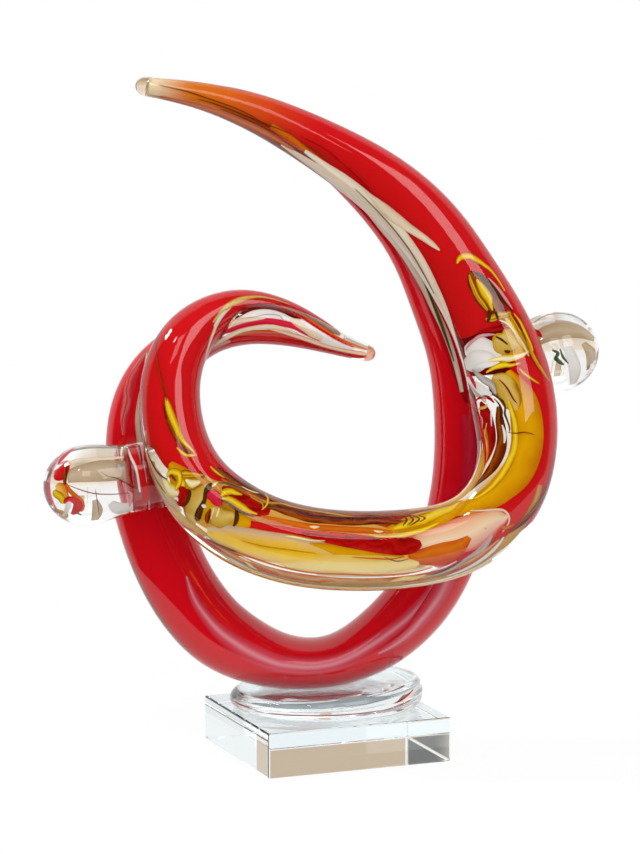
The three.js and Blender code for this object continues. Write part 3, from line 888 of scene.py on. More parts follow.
        ("mauve", [(17.95, 60, 0.8), (17.6, 80, 2.4), (17.1, 92, 3), (16.5, 102, 3), (16, 106, 2.4),
                   (15.5, 108, 0.8)]),
        ("amber", [(15.9, 104, 1), (15.3, 100, 4), (14.85, 96, 5), (14.4, 90, 4), (14, 88, 1.5)]),
        ("lens", [(17.9, 54, 1.5), (17.65, 62, 4.5), (17.35, 68, 6.5), (16.95, 76, 7.5), (16.5, 84, 7.5),
                  (16.05, 88, 6.5), (15.65, 88, 4), (15.3, 86, 1)]),
        ("pale", [(16.3, 66, 2), (15.9, 70, 4.5), (15.35, 76, 6), (14.8, 76, 6), (14.25, 76, 5),
                  (13.85, 74, 3), (13.7, 74, 1)]),
        ("brown", [(17, 144, 0.8), (16.8, 150, 2.4), (16.55, 152, 3.6), (16.3, 152, 3.8), (16, 148, 3.2),
                   (15.55, 150, 3.2), (15.1, 150, 3.2), (14.65, 152, 3), (14.3, 150, 2),
                   (14.05, 146, 1.8), (13.9, 148, 0.5)]),
        ("orange", [(17.05, 124, 0.8), (16.7, 128, 1.8), (16.4, 130, 2), (15.95, 132, 2), (15.3, 134, 2),
                    (14.65, 132, 2), (14.2, 128, 1)]),
        ("gold", [(17.35, 152, 0.4), (17, 156, 1), (16.7, 166, 1), (16.35, 168, 1), (16, 170, 0.9),
                  (15.55, 168, 1), (15.25, 164, 0.9), (15.05, 164, 0.3)]),
        ("yellow", [(14.15, 134, 1.6), (13.8, 142, 3.6), (13.4, 148, 4.4), (12.95, 156, 4.2),
                    (12.55, 156, 3), (12.25, 158, 1)]),
        ("yellow", [(14.7, 126, 0.4), (14.5, 122, 1), (14.15, 120, 1.6), (13.8, 124, 1.8),
                    (13.45, 128, 1.6), (13.1, 134, 0.6)]),
        # The short bright strokes of this region are painted glints.
        ("bright", [(15.95, 132, 0.3), (15.85, 132, 1.1), (15.75, 134, 0.3)]),
        ("bright", [(14.6, 132, 0.3), (14.5, 130, 0.8), (14.4, 130, 0.3)]),
        ("brown", [(13.95, 160, 0.3), (13.85, 150, 0.7), (13.95, 138, 0.3)]),
        ("brown", [(13.8, 160, 0.3), (13.7, 148, 0.6), (13.85, 138, 0.3)]),
        ("brown", [(13.7, 158, 0.3), (13.55, 148, 0.6), (13.7, 140, 0.5), (13.8, 136, 0.2)]),
        ("brown", [(13.55, 156, 0.3), (13.4, 148, 0.5), (13.55, 142, 0.3)]),
        ("deep_red", [(16.1, 118, 1), (15.4, 114, 2.6), (14.9, 111, 3.6), (14.4, 107, 4.6), (14, 104, 5),
                      (13.75, 104, 4), (13.6, 106, 1.5)]),
        ("orange", [(15.05, 90, 0.2), (14.6, 88, 0.35), (14.25, 86, 0.35), (14, 88, 0.2)]),
        ("brown", [(14.4, 90, 0.1), (14.15, 82, 0.25), (13.9, 84, 0.1)]),
        ("amber", [(17.2, 78, 0.2), (16.75, 84, 0.4), (16.25, 90, 0.4), (15.75, 92, 0.2)]),
        ("bright", [(16.4, 108, 0.2), (16.2, 110, 0.7), (15.9, 110, 0.5), (15.6, 112, 0.2)]),
        ("red", [(18.05, 36, 0.8), (17.6, 42, 1.6), (17.1, 50, 1.4), (16.8, 52, 0.6)]),
        ("orange", [(18.05, 42, 0.3), (17.6, 48, 0.6), (17.1, 58, 0.6), (16.7, 60, 0.6), (16.25, 60, 0.5),
                    (15.8, 60, 0.5), (15.2, 62, 0.5), (14.5, 60, 0.5), (13.9, 60, 0.5),
                    (13.45, 64, 0.2)]),
        ("ember", [(17.8, 44, 0.6), (17.3, 46, 1.8), (16.7, 46, 2.8), (16.25, 47, 3), (15.7, 48, 3),
                   (15.05, 47, 3), (14.4, 47, 3), (13.7, 48, 3), (13, 50, 2.8), (12.4, 54, 2),
                   (12, 58, 0.8)]),
        ("honey", [(15.6, 40, 0.6), (15.2, 44, 1.6), (14.6, 45, 1.8), (14, 44, 0.8)]),
        ("pale", [(14.3, 46, 0.4), (14.05, 50, 1.6), (13.85, 48, 1.6), (13.6, 52, 0.5)]),
        ("grey", [(13.6, 46, 0.6), (13.4, 48, 1.6), (13.15, 52, 1.8), (12.85, 58, 1.4), (12.6, 62, 1.6),
                  (12.3, 66, 1.8), (12.05, 74, 0.6)]),
        ("brown", [(13.5, 50, 0.3), (13.25, 53, 0.7), (13, 58, 0.5), (12.8, 62, 0.2)]),
        ("milk", [(13.2, 38, 0.4), (12.85, 40, 1.2), (12.5, 44, 1.4), (12.15, 50, 1.2), (11.9, 56, 0.4)]),
        ("milk", [(13.5, 58, 0.2), (13.2, 60, 0.5), (12.95, 64, 0.3)]),
        ("pink", [(12.85, 62, 0.2), (12.55, 66, 0.5), (12.25, 72, 0.5), (12, 76, 0.2)]),
        ("bright", [(17, 46, 0.3), (16.9, 44, 1.1), (16.85, 42, 0.9), (16.75, 40, 0.3)]),
        ("bright", [(17.15, 52, 0.3), (17.05, 52, 0.9), (16.9, 52, 0.4)]),
        ("brown", [(17.85, 46, 0.4), (17.65, 49, 0.8), (17.4, 54, 0.8), (17.2, 58, 0.4)]),
    ],
    # A painted reflection of a lamp: a salmon patch over the front of the loop, with its pale rim.
    "salmon": [
        ("salmon", [(14, 100, 2.5), (13.55, 104, 7), (12.95, 104, 10), (12.3, 96, 10.5), (11.85, 88, 8),
                    (11.65, 78, 4), (11.55, 74, 1)]),
        ("beige", [(12.1, 128, 0.3), (11.6, 98, 0.5), (11.5, 82, 0.6), (11.6, 68, 0.5),
                   (11.85, 64, 0.3)]),
    ],
    "margin": [
        ("deep_red", [(21.2, 2, 1), (20.8, -2, 4), (20.2, -6, 6), (19.6, -10, 6.5), (19, -12, 6.5),
                      (18.4, -12, 6.5), (17.8, -10, 5), (17.2, -8, 2)]),
        ("honey", [(19.85, 34, 2), (19.4, 22, 3.5), (18.95, 22, 4.5), (18.45, 30, 5), (18, 40, 4.5),
                   (17.1, 40, 4.5), (16.35, 40, 4.5), (15.6, 40, 4.5), (14.9, 40, 4.5), (14.1, 40, 4.5),
                   (13.35, 40, 4.5), (12.5, 42, 4.5), (11.85, 40, 4), (11.25, 38, 3), (10.7, 40, 2)]),
        ("honey", [(18.5, 8, 2), (17.6, 14, 3.5), (16.6, 16, 4), (15.5, 16, 4), (14.5, 16, 4),
                   (13.4, 16, 4), (12.3, 16, 3)]),
        ("ember", [(20.6, 30, 0.8), (20.1, 14, 2.4), (19.5, 2, 3.4), (18.9, 0, 3.8), (18.3, 4, 3.6),
                   (17.6, 4, 2.6), (16.8, 6, 1)]),
        ("amber", [(9.55, 146, 1.5), (10.15, 150, 3), (10.75, 160, 4), (11.4, 170, 4.5), (12.3, 176, 4),
                   (13.1, 180, 3), (13.75, 180, 1.5)]),
        ("bright", [(9.85, 164, 0.4), (10.3, 166, 1), (11.1, 178, 1.2), (11.95, 182, 1),
                    (12.9, 182, 0.6)]),
        ("mauve", [(17.9, 6, 0.8), (16.8, 2, 1.6), (15.6, 0, 1.8), (14.4, 0, 1.8), (13.2, 2, 1.6),
                   (12.4, 8, 0.8)]),
        ("beige", [(17.6, 34, 0.5), (16.85, 30, 0.9), (15.95, 28, 1), (15.1, 28, 1), (14.1, 26, 1),
                   (13.35, 26, 0.9), (12.55, 28, 0.8), (11.9, 24, 0.5)]),
        ("brown", [(16.9, 42, 0.3), (15.95, 42, 0.5), (15.1, 41, 0.5), (14.1, 41, 0.5), (13.35, 42, 0.5),
                   (12.65, 42, 0.3)]),
        ("brown", [(17.4, 18, 0.2), (16.6, 18, 0.4), (15.7, 15, 0.5), (14.9, 16, 0.3), (14.2, 12, 0.5),
                   (13.4, 16, 0.2)]),
        # The short milk and bright strokes from here on are painted glints, the last two painted star
        # glints.
        ("milk", [(17.3, 36, 0.3), (17.05, 34, 0.7), (16.75, 30, 0.3)]),
        ("milk", [(13.65, 20, 0.3), (13.35, 24, 0.6), (13, 32, 0.3)]),
        ("milk", [(12.6, 24, 0.3), (12.35, 32, 0.7), (12.05, 34, 0.3)]),
        ("bright", [(16.15, 20, 0.3), (15.8, 20, 0.6), (15.35, 20, 0.3)]),
        ("bright", [(14.8, 20, 0.3), (14.4, 20, 0.6), (14, 20, 0.3)]),
        ("red", [(19.15, 18, 0.5), (18.8, 20, 1.4), (18.4, 26, 1.2), (18.15, 38, 0.4)]),
        ("bright", [(18.85, 16, 0.4), (18.6, 18, 0.9), (18.25, 20, 0.5)]),
        ("milk", [(18.36, 84, 0.1), (18.3, 86, 1.1), (18.24, 88, 0.1)]),
        ("milk", [(17.92, 45, 0.1), (17.85, 48, 1.1), (17.78, 51, 0.1)]),
    ],
    "corner": [
        ("amber", [(19.6, 74, 1.5), (19.2, 78, 7), (18.8, 82, 10), (18.3, 86, 11), (17.9, 92, 10),
                   (17.5, 100, 7), (17.2, 108, 2)]),
        ("deep_red", [(18.3, 130, 1), (18, 132, 5), (17.6, 134, 7), (17.2, 136, 6), (16.9, 138, 2)]),
        ("brown", [(18.9, 150, 1), (18.5, 154, 3), (18.1, 158, 4), (17.6, 160, 4.5), (17.1, 158, 4),
                   (16.7, 152, 2)]),
        ("orange", [(18.5, 140, 0.5), (18.2, 144, 1.6), (17.8, 150, 2), (17.4, 152, 1.6),
                    (17.1, 150, 0.5)]),
        ("mauve", [(19.9, 24, 0.8), (19.65, 32, 2.4), (19.4, 38, 3.4), (19.15, 40, 3.6), (18.85, 42, 2.6),
                   (18.6, 46, 0.8)]),
        ("olive", [(19.65, 22, 0.3), (19.5, 24, 0.6), (19.3, 30, 0.7), (19.1, 36, 0.3)]),
        ("grey", [(19.35, 18, 0.3), (19.2, 22, 0.6), (19, 28, 0.6), (18.75, 38, 0.3)]),
        ("pane", [(18.65, 112, 1), (18.6, 102, 3.5), (18.55, 90, 5), (18.55, 78, 5.8), (18.45, 64, 5.2),
                  (18.4, 54, 3), (18.2, 54, 1)]),
        ("pane", [(18.15, 90, 1), (18.05, 90, 4.5), (17.9, 90, 6.5), (17.8, 94, 5.5), (17.65, 100, 3.5),
                  (17.5, 102, 1)]),
        ("crimson", [(18.45, 98, 1), (18.35, 106, 3.4), (18.25, 108, 3.6), (18.1, 106, 3), (18, 104, 1)]),
        ("brown", [(18.15, 90, 0.4), (18.1, 80, 1.4), (18.05, 72, 1.2), (18, 68, 0.5)]),
        # The short bright strokes and the small milk dot of this region are painted glints.
        ("bright", [(18.1, 94, 0.3), (18.05, 88, 0.5), (18, 78, 0.3)]),
        ("bright", [(18, 100, 0.3), (17.95, 92, 0.7), (17.93, 86, 0.3)]),
        ("dark", [(17.65, 114, 0.6), (17.55, 106, 1.3), (17.5, 98, 1.1), (17.5, 90, 0.4)]),
        ("dark", [(18.55, 122, 0.6), (18.55, 112, 1.8), (18.5, 102, 1.2), (18.4, 94, 1.1),
                  (18.35, 86, 1.3), (18.3, 74, 1.8), (18.25, 64, 1.8), (18.25, 58, 0.5)]),
        ("gold", [(19.25, 84, 0.6), (19.2, 90, 2), (19.1, 98, 2), (19, 106, 1.4), (18.9, 116, 0.5)]),
        ("bright", [(19.05, 88, 0.8), (18.9, 92, 2), (18.85, 98, 1.8), (18.8, 106, 0.8)]),
        ("yellow", [(19.15, 82, 0.8), (19, 80, 1.8), (18.95, 72, 1.6), (18.9, 62, 0.8)]),
        ("deep_red", [(19, 72, 1), (18.85, 72, 3.4), (18.75, 62, 3.4), (18.75, 50, 0.8)]),
        ("milk", [(18.9, 50, 0.3), (18.85, 56, 0.9), (18.8, 54, 0.3)]),
        ("dark", [(18.85, 82, 0.4), (18.75, 82, 0.9), (18.65, 70, 0.9), (18.7, 58, 0.4)]),
        ("bright", [(19.4, 48, 0.6), (19.25, 50, 2.6), (19.1, 52, 3.4), (19, 60, 2.8), (18.9, 64, 1.2)]),
        ("yellow", [(19.35, 58, 0.6), (19.4, 68, 1.5), (19.35, 76, 2), (19.25, 82, 1.8), (19.1, 78, 1.4),
                    (19.05, 72, 1.2), (19, 62, 0.6)]),
        ("brown", [(19.3, 62, 0.2), (19.32, 68, 0.6), (19.25, 70, 0.8), (19.15, 72, 0.4)]),
        ("bright", [(18.5, 116, 0.4), (18.5, 122, 1), (18.5, 128, 0.3)]),
        ("deep_red", [(17.75, 128, 1.2), (17.55, 134, 3), (17.45, 138, 3.6), (17.25, 140, 3),
                      (17.15, 136, 1)]),
        ("yellow", [(18.15, 116, 0.8), (18.15, 124, 2.2), (18.05, 132, 2.2), (17.9, 136, 1.5),
                    (17.75, 140, 0.5)]),
        ("yellow", [(18.1, 114, 0.5), (17.95, 120, 1.8), (17.75, 122, 2), (17.55, 122, 2),
                    (17.35, 122, 1.3), (17.15, 124, 0.4)]),
        ("dark", [(18.15, 110, 0.3), (17.95, 114, 0.6), (17.75, 114, 0.7), (17.55, 114, 0.6),
                  (17.35, 116, 0.5), (17.2, 118, 0.3)]),
        ("gold", [(17.65, 152, 0.3), (17.5, 146, 0.6), (17.35, 146, 0.7), (17.15, 144, 0.6),
                  (17.1, 136, 0.3)]),
        ("yellow", [(17.25, 174, 0.4), (17.1, 162, 0.8), (17.05, 146, 0.7), (17.1, 134, 0.4)]),
        ("yellow", [(19, 136, 0.4), (18.8, 138, 0.9), (18.55, 142, 0.6), (18.45, 144, 0.2)]),
        ("olive", [(18.45, 128, 0.4), (18.3, 138, 0.8), (18.05, 146, 0.9), (17.75, 152, 0.7),
                   (17.6, 156, 0.3)]),
        ("bright", [(17.9, 154, 0.3), (17.7, 156, 0.6), (17.5, 160, 0.7), (17.4, 164, 0.3)]),
    ],
    "left_side": [
        ("deep_red", [(22.4, 180, 2), (21.6, 184, 4), (20.8, 188, 4), (20, 188, 4), (19.2, 186, 4),
                      (18.6, 184, 2)]),
        ("brown", [(21.65, 74, 0.2), (21.25, 88, 0.5), (20.75, 94, 0.6), (20.3, 100, 0.4),
                   (19.75, 110, 0.2)]),
        ("brown", [(21.25, 80, 0.4), (20.9, 88, 2.2), (20.4, 97, 2.6), (19.9, 106, 2), (19.6, 114, 0.8)]),
        ("yellow", [(21.35, 84, 0.5), (21.05, 90, 1.9), (20.55, 100, 2), (20.05, 108, 1.4),
                    (19.75, 118, 0.8), (19.55, 122, 0.3)]),
        ("yellow", [(19.9, 94, 0.4), (19.6, 106, 1), (19.5, 124, 0.4)]),
        ("brown", [(22.8, 10, 0.2), (22.25, 52, 0.4), (21.65, 78, 0.4), (21.25, 86, 0.2)]),
        ("brown", [(20.95, 16, 0.3), (20.4, 22, 0.7), (19.95, 30, 0.7), (19.55, 42, 0.6),
                   (19.3, 58, 0.3)]),
    ],
    "hook": [
        ("salmon", [(25.6, 72, 0.5), (26.2, 76, 1.1), (26.8, 82, 1.5), (27.4, 86, 1.3), (27.8, 90, 0.5)]),
        ("pane", [(23.85, 100, 0.5), (24.1, 92, 1.4), (24.4, 76, 1.8), (24.7, 62, 1.9), (25, 46, 1.4),
                  (25.3, 34, 0.9), (25.6, 28, 0.6), (26, 24, 0.4)]),
        ("beige", [(22.8, 168, 0.3), (23.2, 150, 0.9), (23.6, 130, 1.1), (23.9, 112, 1), (24.2, 96, 0.8),
                   (24.5, 82, 0.3)]),
        ("milk", [(23.8, 110, 0.4), (24, 102, 0.8), (24.2, 92, 0.7), (24.35, 86, 0.3)]),
    ],
}
REAR_STROKES = {
    "ring": [
        ("rose", [(16, 114, 1), (15.55, 106, 3), (15.1, 104, 4), (14.4, 102, 5.5), (13.7, 100, 7),
                  (13.15, 100, 7.5), (12.5, 102, 7.5), (11.7, 102, 6.5), (11, 100, 5), (10.25, 92, 4),
                  (9.65, 90, 2.5), (9.05, 90, 1)]),
        ("rose", [(11.15, 78, 1), (10.65, 70, 4), (10.05, 72, 6), (9.5, 72, 6), (8.9, 74, 4),
                  (8.3, 80, 1)]),
    ],
    "rear_crescent": [
        ("ivory", [(0.8, 162, 1), (1.15, 160, 1.6), (1.5, 138, 2.2), (1.8, 128, 2.4), (2.1, 124, 2.6),
                   (2.45, 126, 2.8), (2.8, 120, 2.6), (3.2, 116, 2.2), (3.65, 110, 2.2), (4, 108, 2),
                   (4.4, 104, 1.9), (4.8, 102, 1.7), (5.2, 100, 1.5), (5.75, 96, 1.1)]),
        ("crimson", [(6.2, 94, 1.5), (6.6, 88, 3.5), (7.1, 82, 4.5), (7.7, 82, 4.5), (8.2, 88, 3),
                     (8.5, 92, 1)]),
        ("olive", [(2.6, 96, 0.3), (3.05, 100, 0.5), (3.4, 102, 0.6), (3.8, 103, 0.8), (4.3, 104, 1),
                   (4.75, 104, 0.6), (5.1, 102, 0.3)]),
    ],
    "rear_hook": [
        ("orange", [(21.65, 146, 0.5), (22.15, 138, 1.6), (22.65, 130, 2.4), (23.1, 122, 2.8),
                    (23.5, 118, 2.8), (23.95, 116, 2.8), (24.45, 122, 2.6), (25.15, 128, 2),
                    (25.85, 128, 1.6), (26.5, 122, 1.2)]),
        ("red", [(21.65, 150, 0.5), (22.15, 142, 2), (22.65, 136, 2.6), (23.1, 132, 2.8),
                 (23.5, 130, 2.8), (23.95, 128, 2.8), (24.45, 134, 2.8), (25.15, 140, 2),
                 (25.85, 140, 1.4), (26.5, 134, 1.2), (26.95, 128, 0.6)]),
        ("pink", [(21.6, 142, 0.5), (21.95, 136, 2.2), (22.25, 134, 2.4), (22.5, 134, 1.2)]),
        ("milk", [(22.6, 80, 0.6), (22.95, 66, 1.8), (23.2, 54, 2.8), (23.5, 50, 3.8), (23.8, 56, 3.8),
                  (24.05, 60, 2.8), (24.4, 60, 2.2), (24.8, 70, 2.6), (25.1, 80, 3), (25.5, 90, 2.8),
                  (25.9, 94, 2), (26.3, 94, 0.6)]),
        ("crimson", [(22, 116, 0.8), (22.4, 98, 1.6), (22.75, 90, 2), (23.15, 80, 2), (23.5, 74, 1.9),
                     (23.85, 74, 2), (24.2, 76, 1.8), (24.45, 84, 1.2), (24.7, 90, 0.4)]),
        ("beige", [(22.45, 90, 0.6), (22.7, 80, 1.5), (22.95, 73, 1.6), (23.25, 70, 0.9),
                   (23.45, 66, 0.3)]),
        ("beige", [(24.05, 58, 0.8), (24.25, 58, 2.8), (24.55, 62, 3.8), (24.85, 74, 3.4),
                   (25.1, 84, 1.2)]),
        ("grey", [(23, 66, 0.1), (23.25, 62, 0.25), (23.5, 52, 0.25), (23.75, 50, 0.25), (23.85, 60, 0.2),
                  (23.9, 66, 0.1)]),
        ("red", [(23.9, 134, 1.6), (24.55, 150, 2.2), (25.2, 156, 2.4), (25.9, 146, 2.2),
                 (26.65, 130, 1.6), (27, 106, 0.8)]),
        ("salmon", [(23.4, 94, 0.6), (24, 104, 1.2), (24.6, 110, 1.4), (25.25, 116, 1.4), (26, 110, 1.4),
                    (26.8, 96, 1.4), (27, 90, 0.8)]),
        ("milk", [(24.3, 46, 1.2), (24.75, 56, 2.2), (25.25, 70, 2), (25.9, 80, 1.6), (26.35, 80, 0.6)]),
        ("orange", [(23.75, 10, 0.5), (24.25, 16, 0.9), (24.7, 34, 1.1), (25.25, 48, 1.1),
                    (25.85, 58, 1.1), (26.6, 58, 0.9), (27, 56, 0.5)]),
        ("red", [(24, 24, 0.4), (24.5, 40, 0.9), (25, 54, 0.9), (25.6, 64, 0.8), (26.3, 68, 0.6)]),
        ("beige", [(21.9, 130, 0.6), (22.35, 118, 1.3), (22.75, 106, 1.3), (23.1, 98, 1.1),
                   (23.5, 92, 1.3), (23.8, 91, 1.2), (24.2, 94, 0.6)]),
    ],
    "rear_side": [
        # A painted sheen: pink bands over the red of the rear strand's left side.
        ("haze", [(20.7, 18, 1), (20.1, 28, 3), (19.6, 42, 4), (19.1, 52, 3), (18.7, 58, 1)]),
        ("beige", [(20.4, 26, 0.4), (20.2, 50, 1), (19.9, 66, 1.2), (19.45, 74, 1.2), (19.05, 80, 1.4),
                   (18.7, 88, 1.6), (18.4, 92, 1.2)]),
        ("olive", [(17, 14, 0.4), (16.55, 14, 1.1), (16.1, 18, 1.2), (15.65, 20, 1.2), (15.2, 22, 1),
                   (14.75, 24, 0.5)]),
    ],
}
# In the knobs and the foot a station is a distance in mm from the crown or the left end. Their strokes
# are painted reflections of the room and of the strands, with painted highlights.
LEFT_KNOB_STROKES = [
    ("tan", [(14.5, 61, 4), (24.5, 61, 6), (35.6, 61, 7), (46.7, 64, 6)]),
    ("tan", [(27.2, 106, 1.5), (27.8, 126, 3), (25.6, 150, 2)]),
    ("smoke_reflection", [(6.7, 157, 0.6), (16.1, 172, 1.4), (30, 172, 1.4), (43.9, 172, 1)]),
    ("smoke_reflection", [(4.7, 10, 0.6), (16.1, 8, 1.4), (30, 8, 1.4), (46.9, 8, 1)]),
    ("beige", [(6.7, 44, 0.6), (16.1, 37, 1.2), (30, 39, 1.2), (46.7, 38, 0.8)]),
    ("milk", [(35.6, 117, 2), (41.1, 138, 5), (47.8, 141, 4)]),
    ("leaf_reflection", [(15.6, 101, 0.4), (17.8, 109, 1), (15.6, 122, 1), (18.9, 131, 0.4)]),
    ("brown", [(28.4, 90, 0.15), (28.4, 110, 0.25), (28.4, 136, 0.15)]),
    ("brown", [(11.1, 71, 0.15), (24.5, 92, 0.3), (38.4, 103, 0.3), (48.9, 107, 0.15)]),
    ("red", [(10.8, 28, 0.6), (14.3, 16, 2.2), (18.3, 6, 1.6), (20.8, 0, 0.5)]),
    ("red", [(7.3, 54, 1.4), (9.8, 52, 4.5), (12.8, 46, 4), (15.8, 36, 1.6)]),
    ("pink", [(6.8, 36, 0.3), (9.3, 24, 0.8), (13.3, 10, 0.8), (17.8, 4, 0.3)]),
    ("pink", [(10.8, 30, 0.4), (13.8, 32, 1), (16.3, 34, 0.6)]),
    ("painted_glow", [(7.8, 70, 1), (9.8, 78, 3.2), (10.8, 88, 2.8), (12.3, 98, 1.6)]),
    ("yellow", [(6.3, 80, 0.8), (7.3, 90, 2.4), (9.3, 98, 2.4), (9.8, 110, 1.2)]),
    ("orange", [(13.3, 72, 0.4), (14.3, 84, 1.2), (16.8, 94, 1.4), (19.3, 102, 1.4), (19.8, 112, 1.6),
                (18.3, 122, 1.2)]),
    ("red", [(10.3, 108, 0.6), (12.8, 100, 1.6), (16.3, 102, 2.2), (17.8, 110, 2.6), (16.3, 120, 2.2),
             (13.8, 130, 0.8)]),
    ("gold", [(5.8, 132, 0.8), (7.8, 134, 2.2), (10.3, 134, 1.6), (9.5, 152, 0.8)]),
    ("milk", [(8.8, 146, 0.4), (11.3, 122, 1.2), (13.3, 108, 1.6), (14.3, 108, 0.5)]),
    ("brown", [(14.8, 40, 0.4), (13.8, 52, 1), (12.8, 64, 1.2), (12.3, 74, 0.7)]),
    ("olive", [(6.8, 26, 0.4), (5.3, 32, 1.4), (3.8, 40, 1), (1.8, 44, 0.3)]),
    ("olive", [(1.5, 154, 0.3), (2.3, 154, 1), (4.3, 144, 1.2), (6.3, 138, 0.5)]),
    ("red", [(52.3, 14, 1.6), (53.3, 34, 2), (53.3, 52, 2), (55.3, 72, 1.8), (55.3, 88, 1.8),
             (55.8, 104, 1.8), (55.8, 118, 2), (54.8, 130, 1.6), (52.3, 138, 0.8)]),
    ("milk", [(50.3, 20, 0.3), (50.8, 42, 0.7), (52.3, 60, 0.7), (52.8, 76, 0.6), (52.8, 92, 0.6),
              (52.8, 108, 0.5)]),
    ("pink", [(46.3, 102, 0.3), (47.8, 110, 0.9), (46.8, 124, 0.9), (45.8, 136, 0.3)]),
    ("grey", [(43.3, 54, 1), (43.8, 60, 1.6), (43.8, 64, 0.6)]),
    ("dark", [(32.8, 64, 0.15), (36.3, 72, 0.25), (40.3, 76, 0.25), (44.3, 84, 0.25), (48.3, 94, 0.25),
              (50.8, 100, 0.15)]),
]
RIGHT_KNOB_STROKES = [
    ("tan", [(2.8, 115, 2), (8.3, 126, 4), (17.8, 132, 6), (27.2, 132, 6), (35, 125, 4)]),
    ("tan", [(9.5, 104, 1.5), (6.7, 79, 3), (7.8, 51, 3)]),
    ("smoke_reflection", [(1.7, 60, 1.5), (3.9, 20, 2.4), (9.5, 12, 2.4), (17.2, 22, 1.6)]),
    ("milk", [(19.5, 112, 1.5), (17.8, 89, 3), (17.2, 61, 3.5), (19.5, 31, 2)]),
    ("leaf_reflection", [(27.2, 103, 0.4), (24.5, 96, 1), (26.7, 88, 0.7), (24, 82, 0.3)]),
    ("leaf_reflection", [(26, 94, 0.3), (25, 84, 1.1), (22.6, 77, 0.5)]),
    ("leaf_reflection", [(22.8, 102, 0.3), (22.2, 89, 0.7), (20, 77, 0.3)]),
    ("milk", [(28.9, 156, 0.5), (25.6, 156, 1.8), (21.7, 152, 0.8)]),
    ("red", [(35, 148, 0.6), (32.8, 136, 1.5), (31.1, 127, 0.6)]),
    ("smoke_reflection", [(3.9, 168, 0.6), (9.5, 172, 1.1), (17.8, 174, 1.3), (26.1, 172, 1.1), (32.8, 161, 0.6)]),
    ("smoke_reflection", [(2.8, 8, 0.5), (8.3, 8, 1.1), (16.1, 6, 1.2), (25, 20, 0.6)]),
]
# Painted reflections: the strands' red mirrored along the foot's underside, with grey-blue and white
# bands.
FOOT_STROKES = [
    ("ice_reflection", [(14, 64, 0.8), (28, 66, 2.4), (50, 66, 3), (74, 62, 3), (90, 58, 1.4)]),
    ("smoke_reflection", [(16, 44, 0.4), (30, 46, 0.7), (52, 47, 0.7), (80, 46, 0.4)]),
    ("crimson", [(16, 112, 0.4), (30, 117, 1.2), (56, 119, 1.4), (80, 115, 0.8), (88, 112, 0.3)]),
    ("pink", [(24, 108, 0.2), (44, 112, 0.5), (70, 111, 0.5), (84, 108, 0.2)]),
    ("red", [(92, 84, 0.3), (97, 76, 1), (101, 62, 0.8), (103, 52, 0.3)]),
    ("red", [(94, 104, 0.3), (99, 96, 0.9), (102, 88, 0.3)]),
    ("red", [(3, 84, 0.5), (7, 86, 1.6), (12, 92, 1), (16, 98, 0.3)]),
    ("milk", [(20, 84, 0.4), (40, 88, 1.2), (66, 88, 1.2), (88, 80, 0.4)]),
]

DEEPEST, SHALLOWEST = 2.5, 0.7  # between these depths lie the strokes of a region, in mm
paint_materials = {}


def paint(region, route, strokes, cutters=()):
    """The strokes of a region, one piece for each paint. Later strokes lie nearer the surface."""
    shares = {}
    for i, (colour, points) in enumerate(strokes):
        verts, faces, across = shares.setdefault(colour, ([], [], []))
        depth = DEEPEST - (DEEPEST - SHALLOWEST) * i / len(strokes)
        add_stroke(verts, faces, across, route, depth, points)
    pieces = []
    for colour, (verts, faces, across) in shares.items():
        if colour not in paint_materials:
            paint_materials[colour] = folds(colour + "_fold", *PAINTS[colour])
        piece = make_mesh(f"{region}_{colour}", verts, faces, paint_materials[colour])
        mark(piece, "across", across)
        if cutters:
            cut(piece, *cutters)
        crease(piece)
        pieces.append(piece)
    return pieces


def build_casings():
    """The clear outsides of both strands, and grown copies of them that cut what they meet."""
    front = sweep("front_casing", FRONT, 0, FRONT.steps, round_section(0), CASING_GLASS)
    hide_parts("front_strand_casing")

    grown = round_section(-GAP)
    cutter = sweep("front_cutter", FRONT, 0, FRONT.steps, grown, CASING_GLASS, shift=GAP)
    rear_cutter = sweep("rear_cutter", REAR, 0, REAR.steps, grown, CASING_GLASS, shift=GAP)

    rear = sweep("rear_casing", REAR, 0, REAR.steps, round_section(0), CASING_GLASS)
    crease(cut(rear, cutter))
    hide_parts("rear_strand_casing")
    return [front, rear], cutter, rear_cutter


def build_colours(cutter):
    """The red and the amber inside the strands, with the strokes over them. The numbers are the
    layers' depths and thicknesses in mm."""
    right = layer("front_red_right", FRONT, FRONT_RED, CASING, 1.2, TIP_RED)
    left = layer("front_red_left", FRONT, FRONT_RED_LEFT, CASING, 1.2, RED)
    for piece in (right, left):
        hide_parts("front_strand_red_core")
    amber = layer("front_amber", FRONT, FRONT_AMBER, 4.3, 11, AMBER)
    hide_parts("front_strand_amber_core")

    upper = layer("rear_red_upper", REAR, REAR_RED_UPPER, CASING, 6, CRIMSON, [cutter])
    section = body_section(CASING + 0.1)
    body = sweep("rear_red", REAR, REAR_RED_FIRST, REAR_RED_LAST, section, CRIMSON)
    crease(cut(body, cutter))
    for piece in (upper, body):
        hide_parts("rear_strand_red_core")
    lower = layer("hook_lower_red", REAR, HOOK_LOWER_RED, HOOK_CASING, 1.0, RED, [cutter])
    band = layer("hook_red_band", REAR, HOOK_RED_BAND, HOOK_CASING, 0.8, RED, [cutter])
    pieces = [right, left, amber, upper, body, lower, band]
    for region, strokes in FRONT_STROKES.items():
        pieces += paint(region, FRONT, strokes)
    for region, strokes in REAR_STROKES.items():
        meets_front = region != "ring"
        pieces += paint(region, REAR, strokes, [cutter] if meets_front else [])
    return pieces


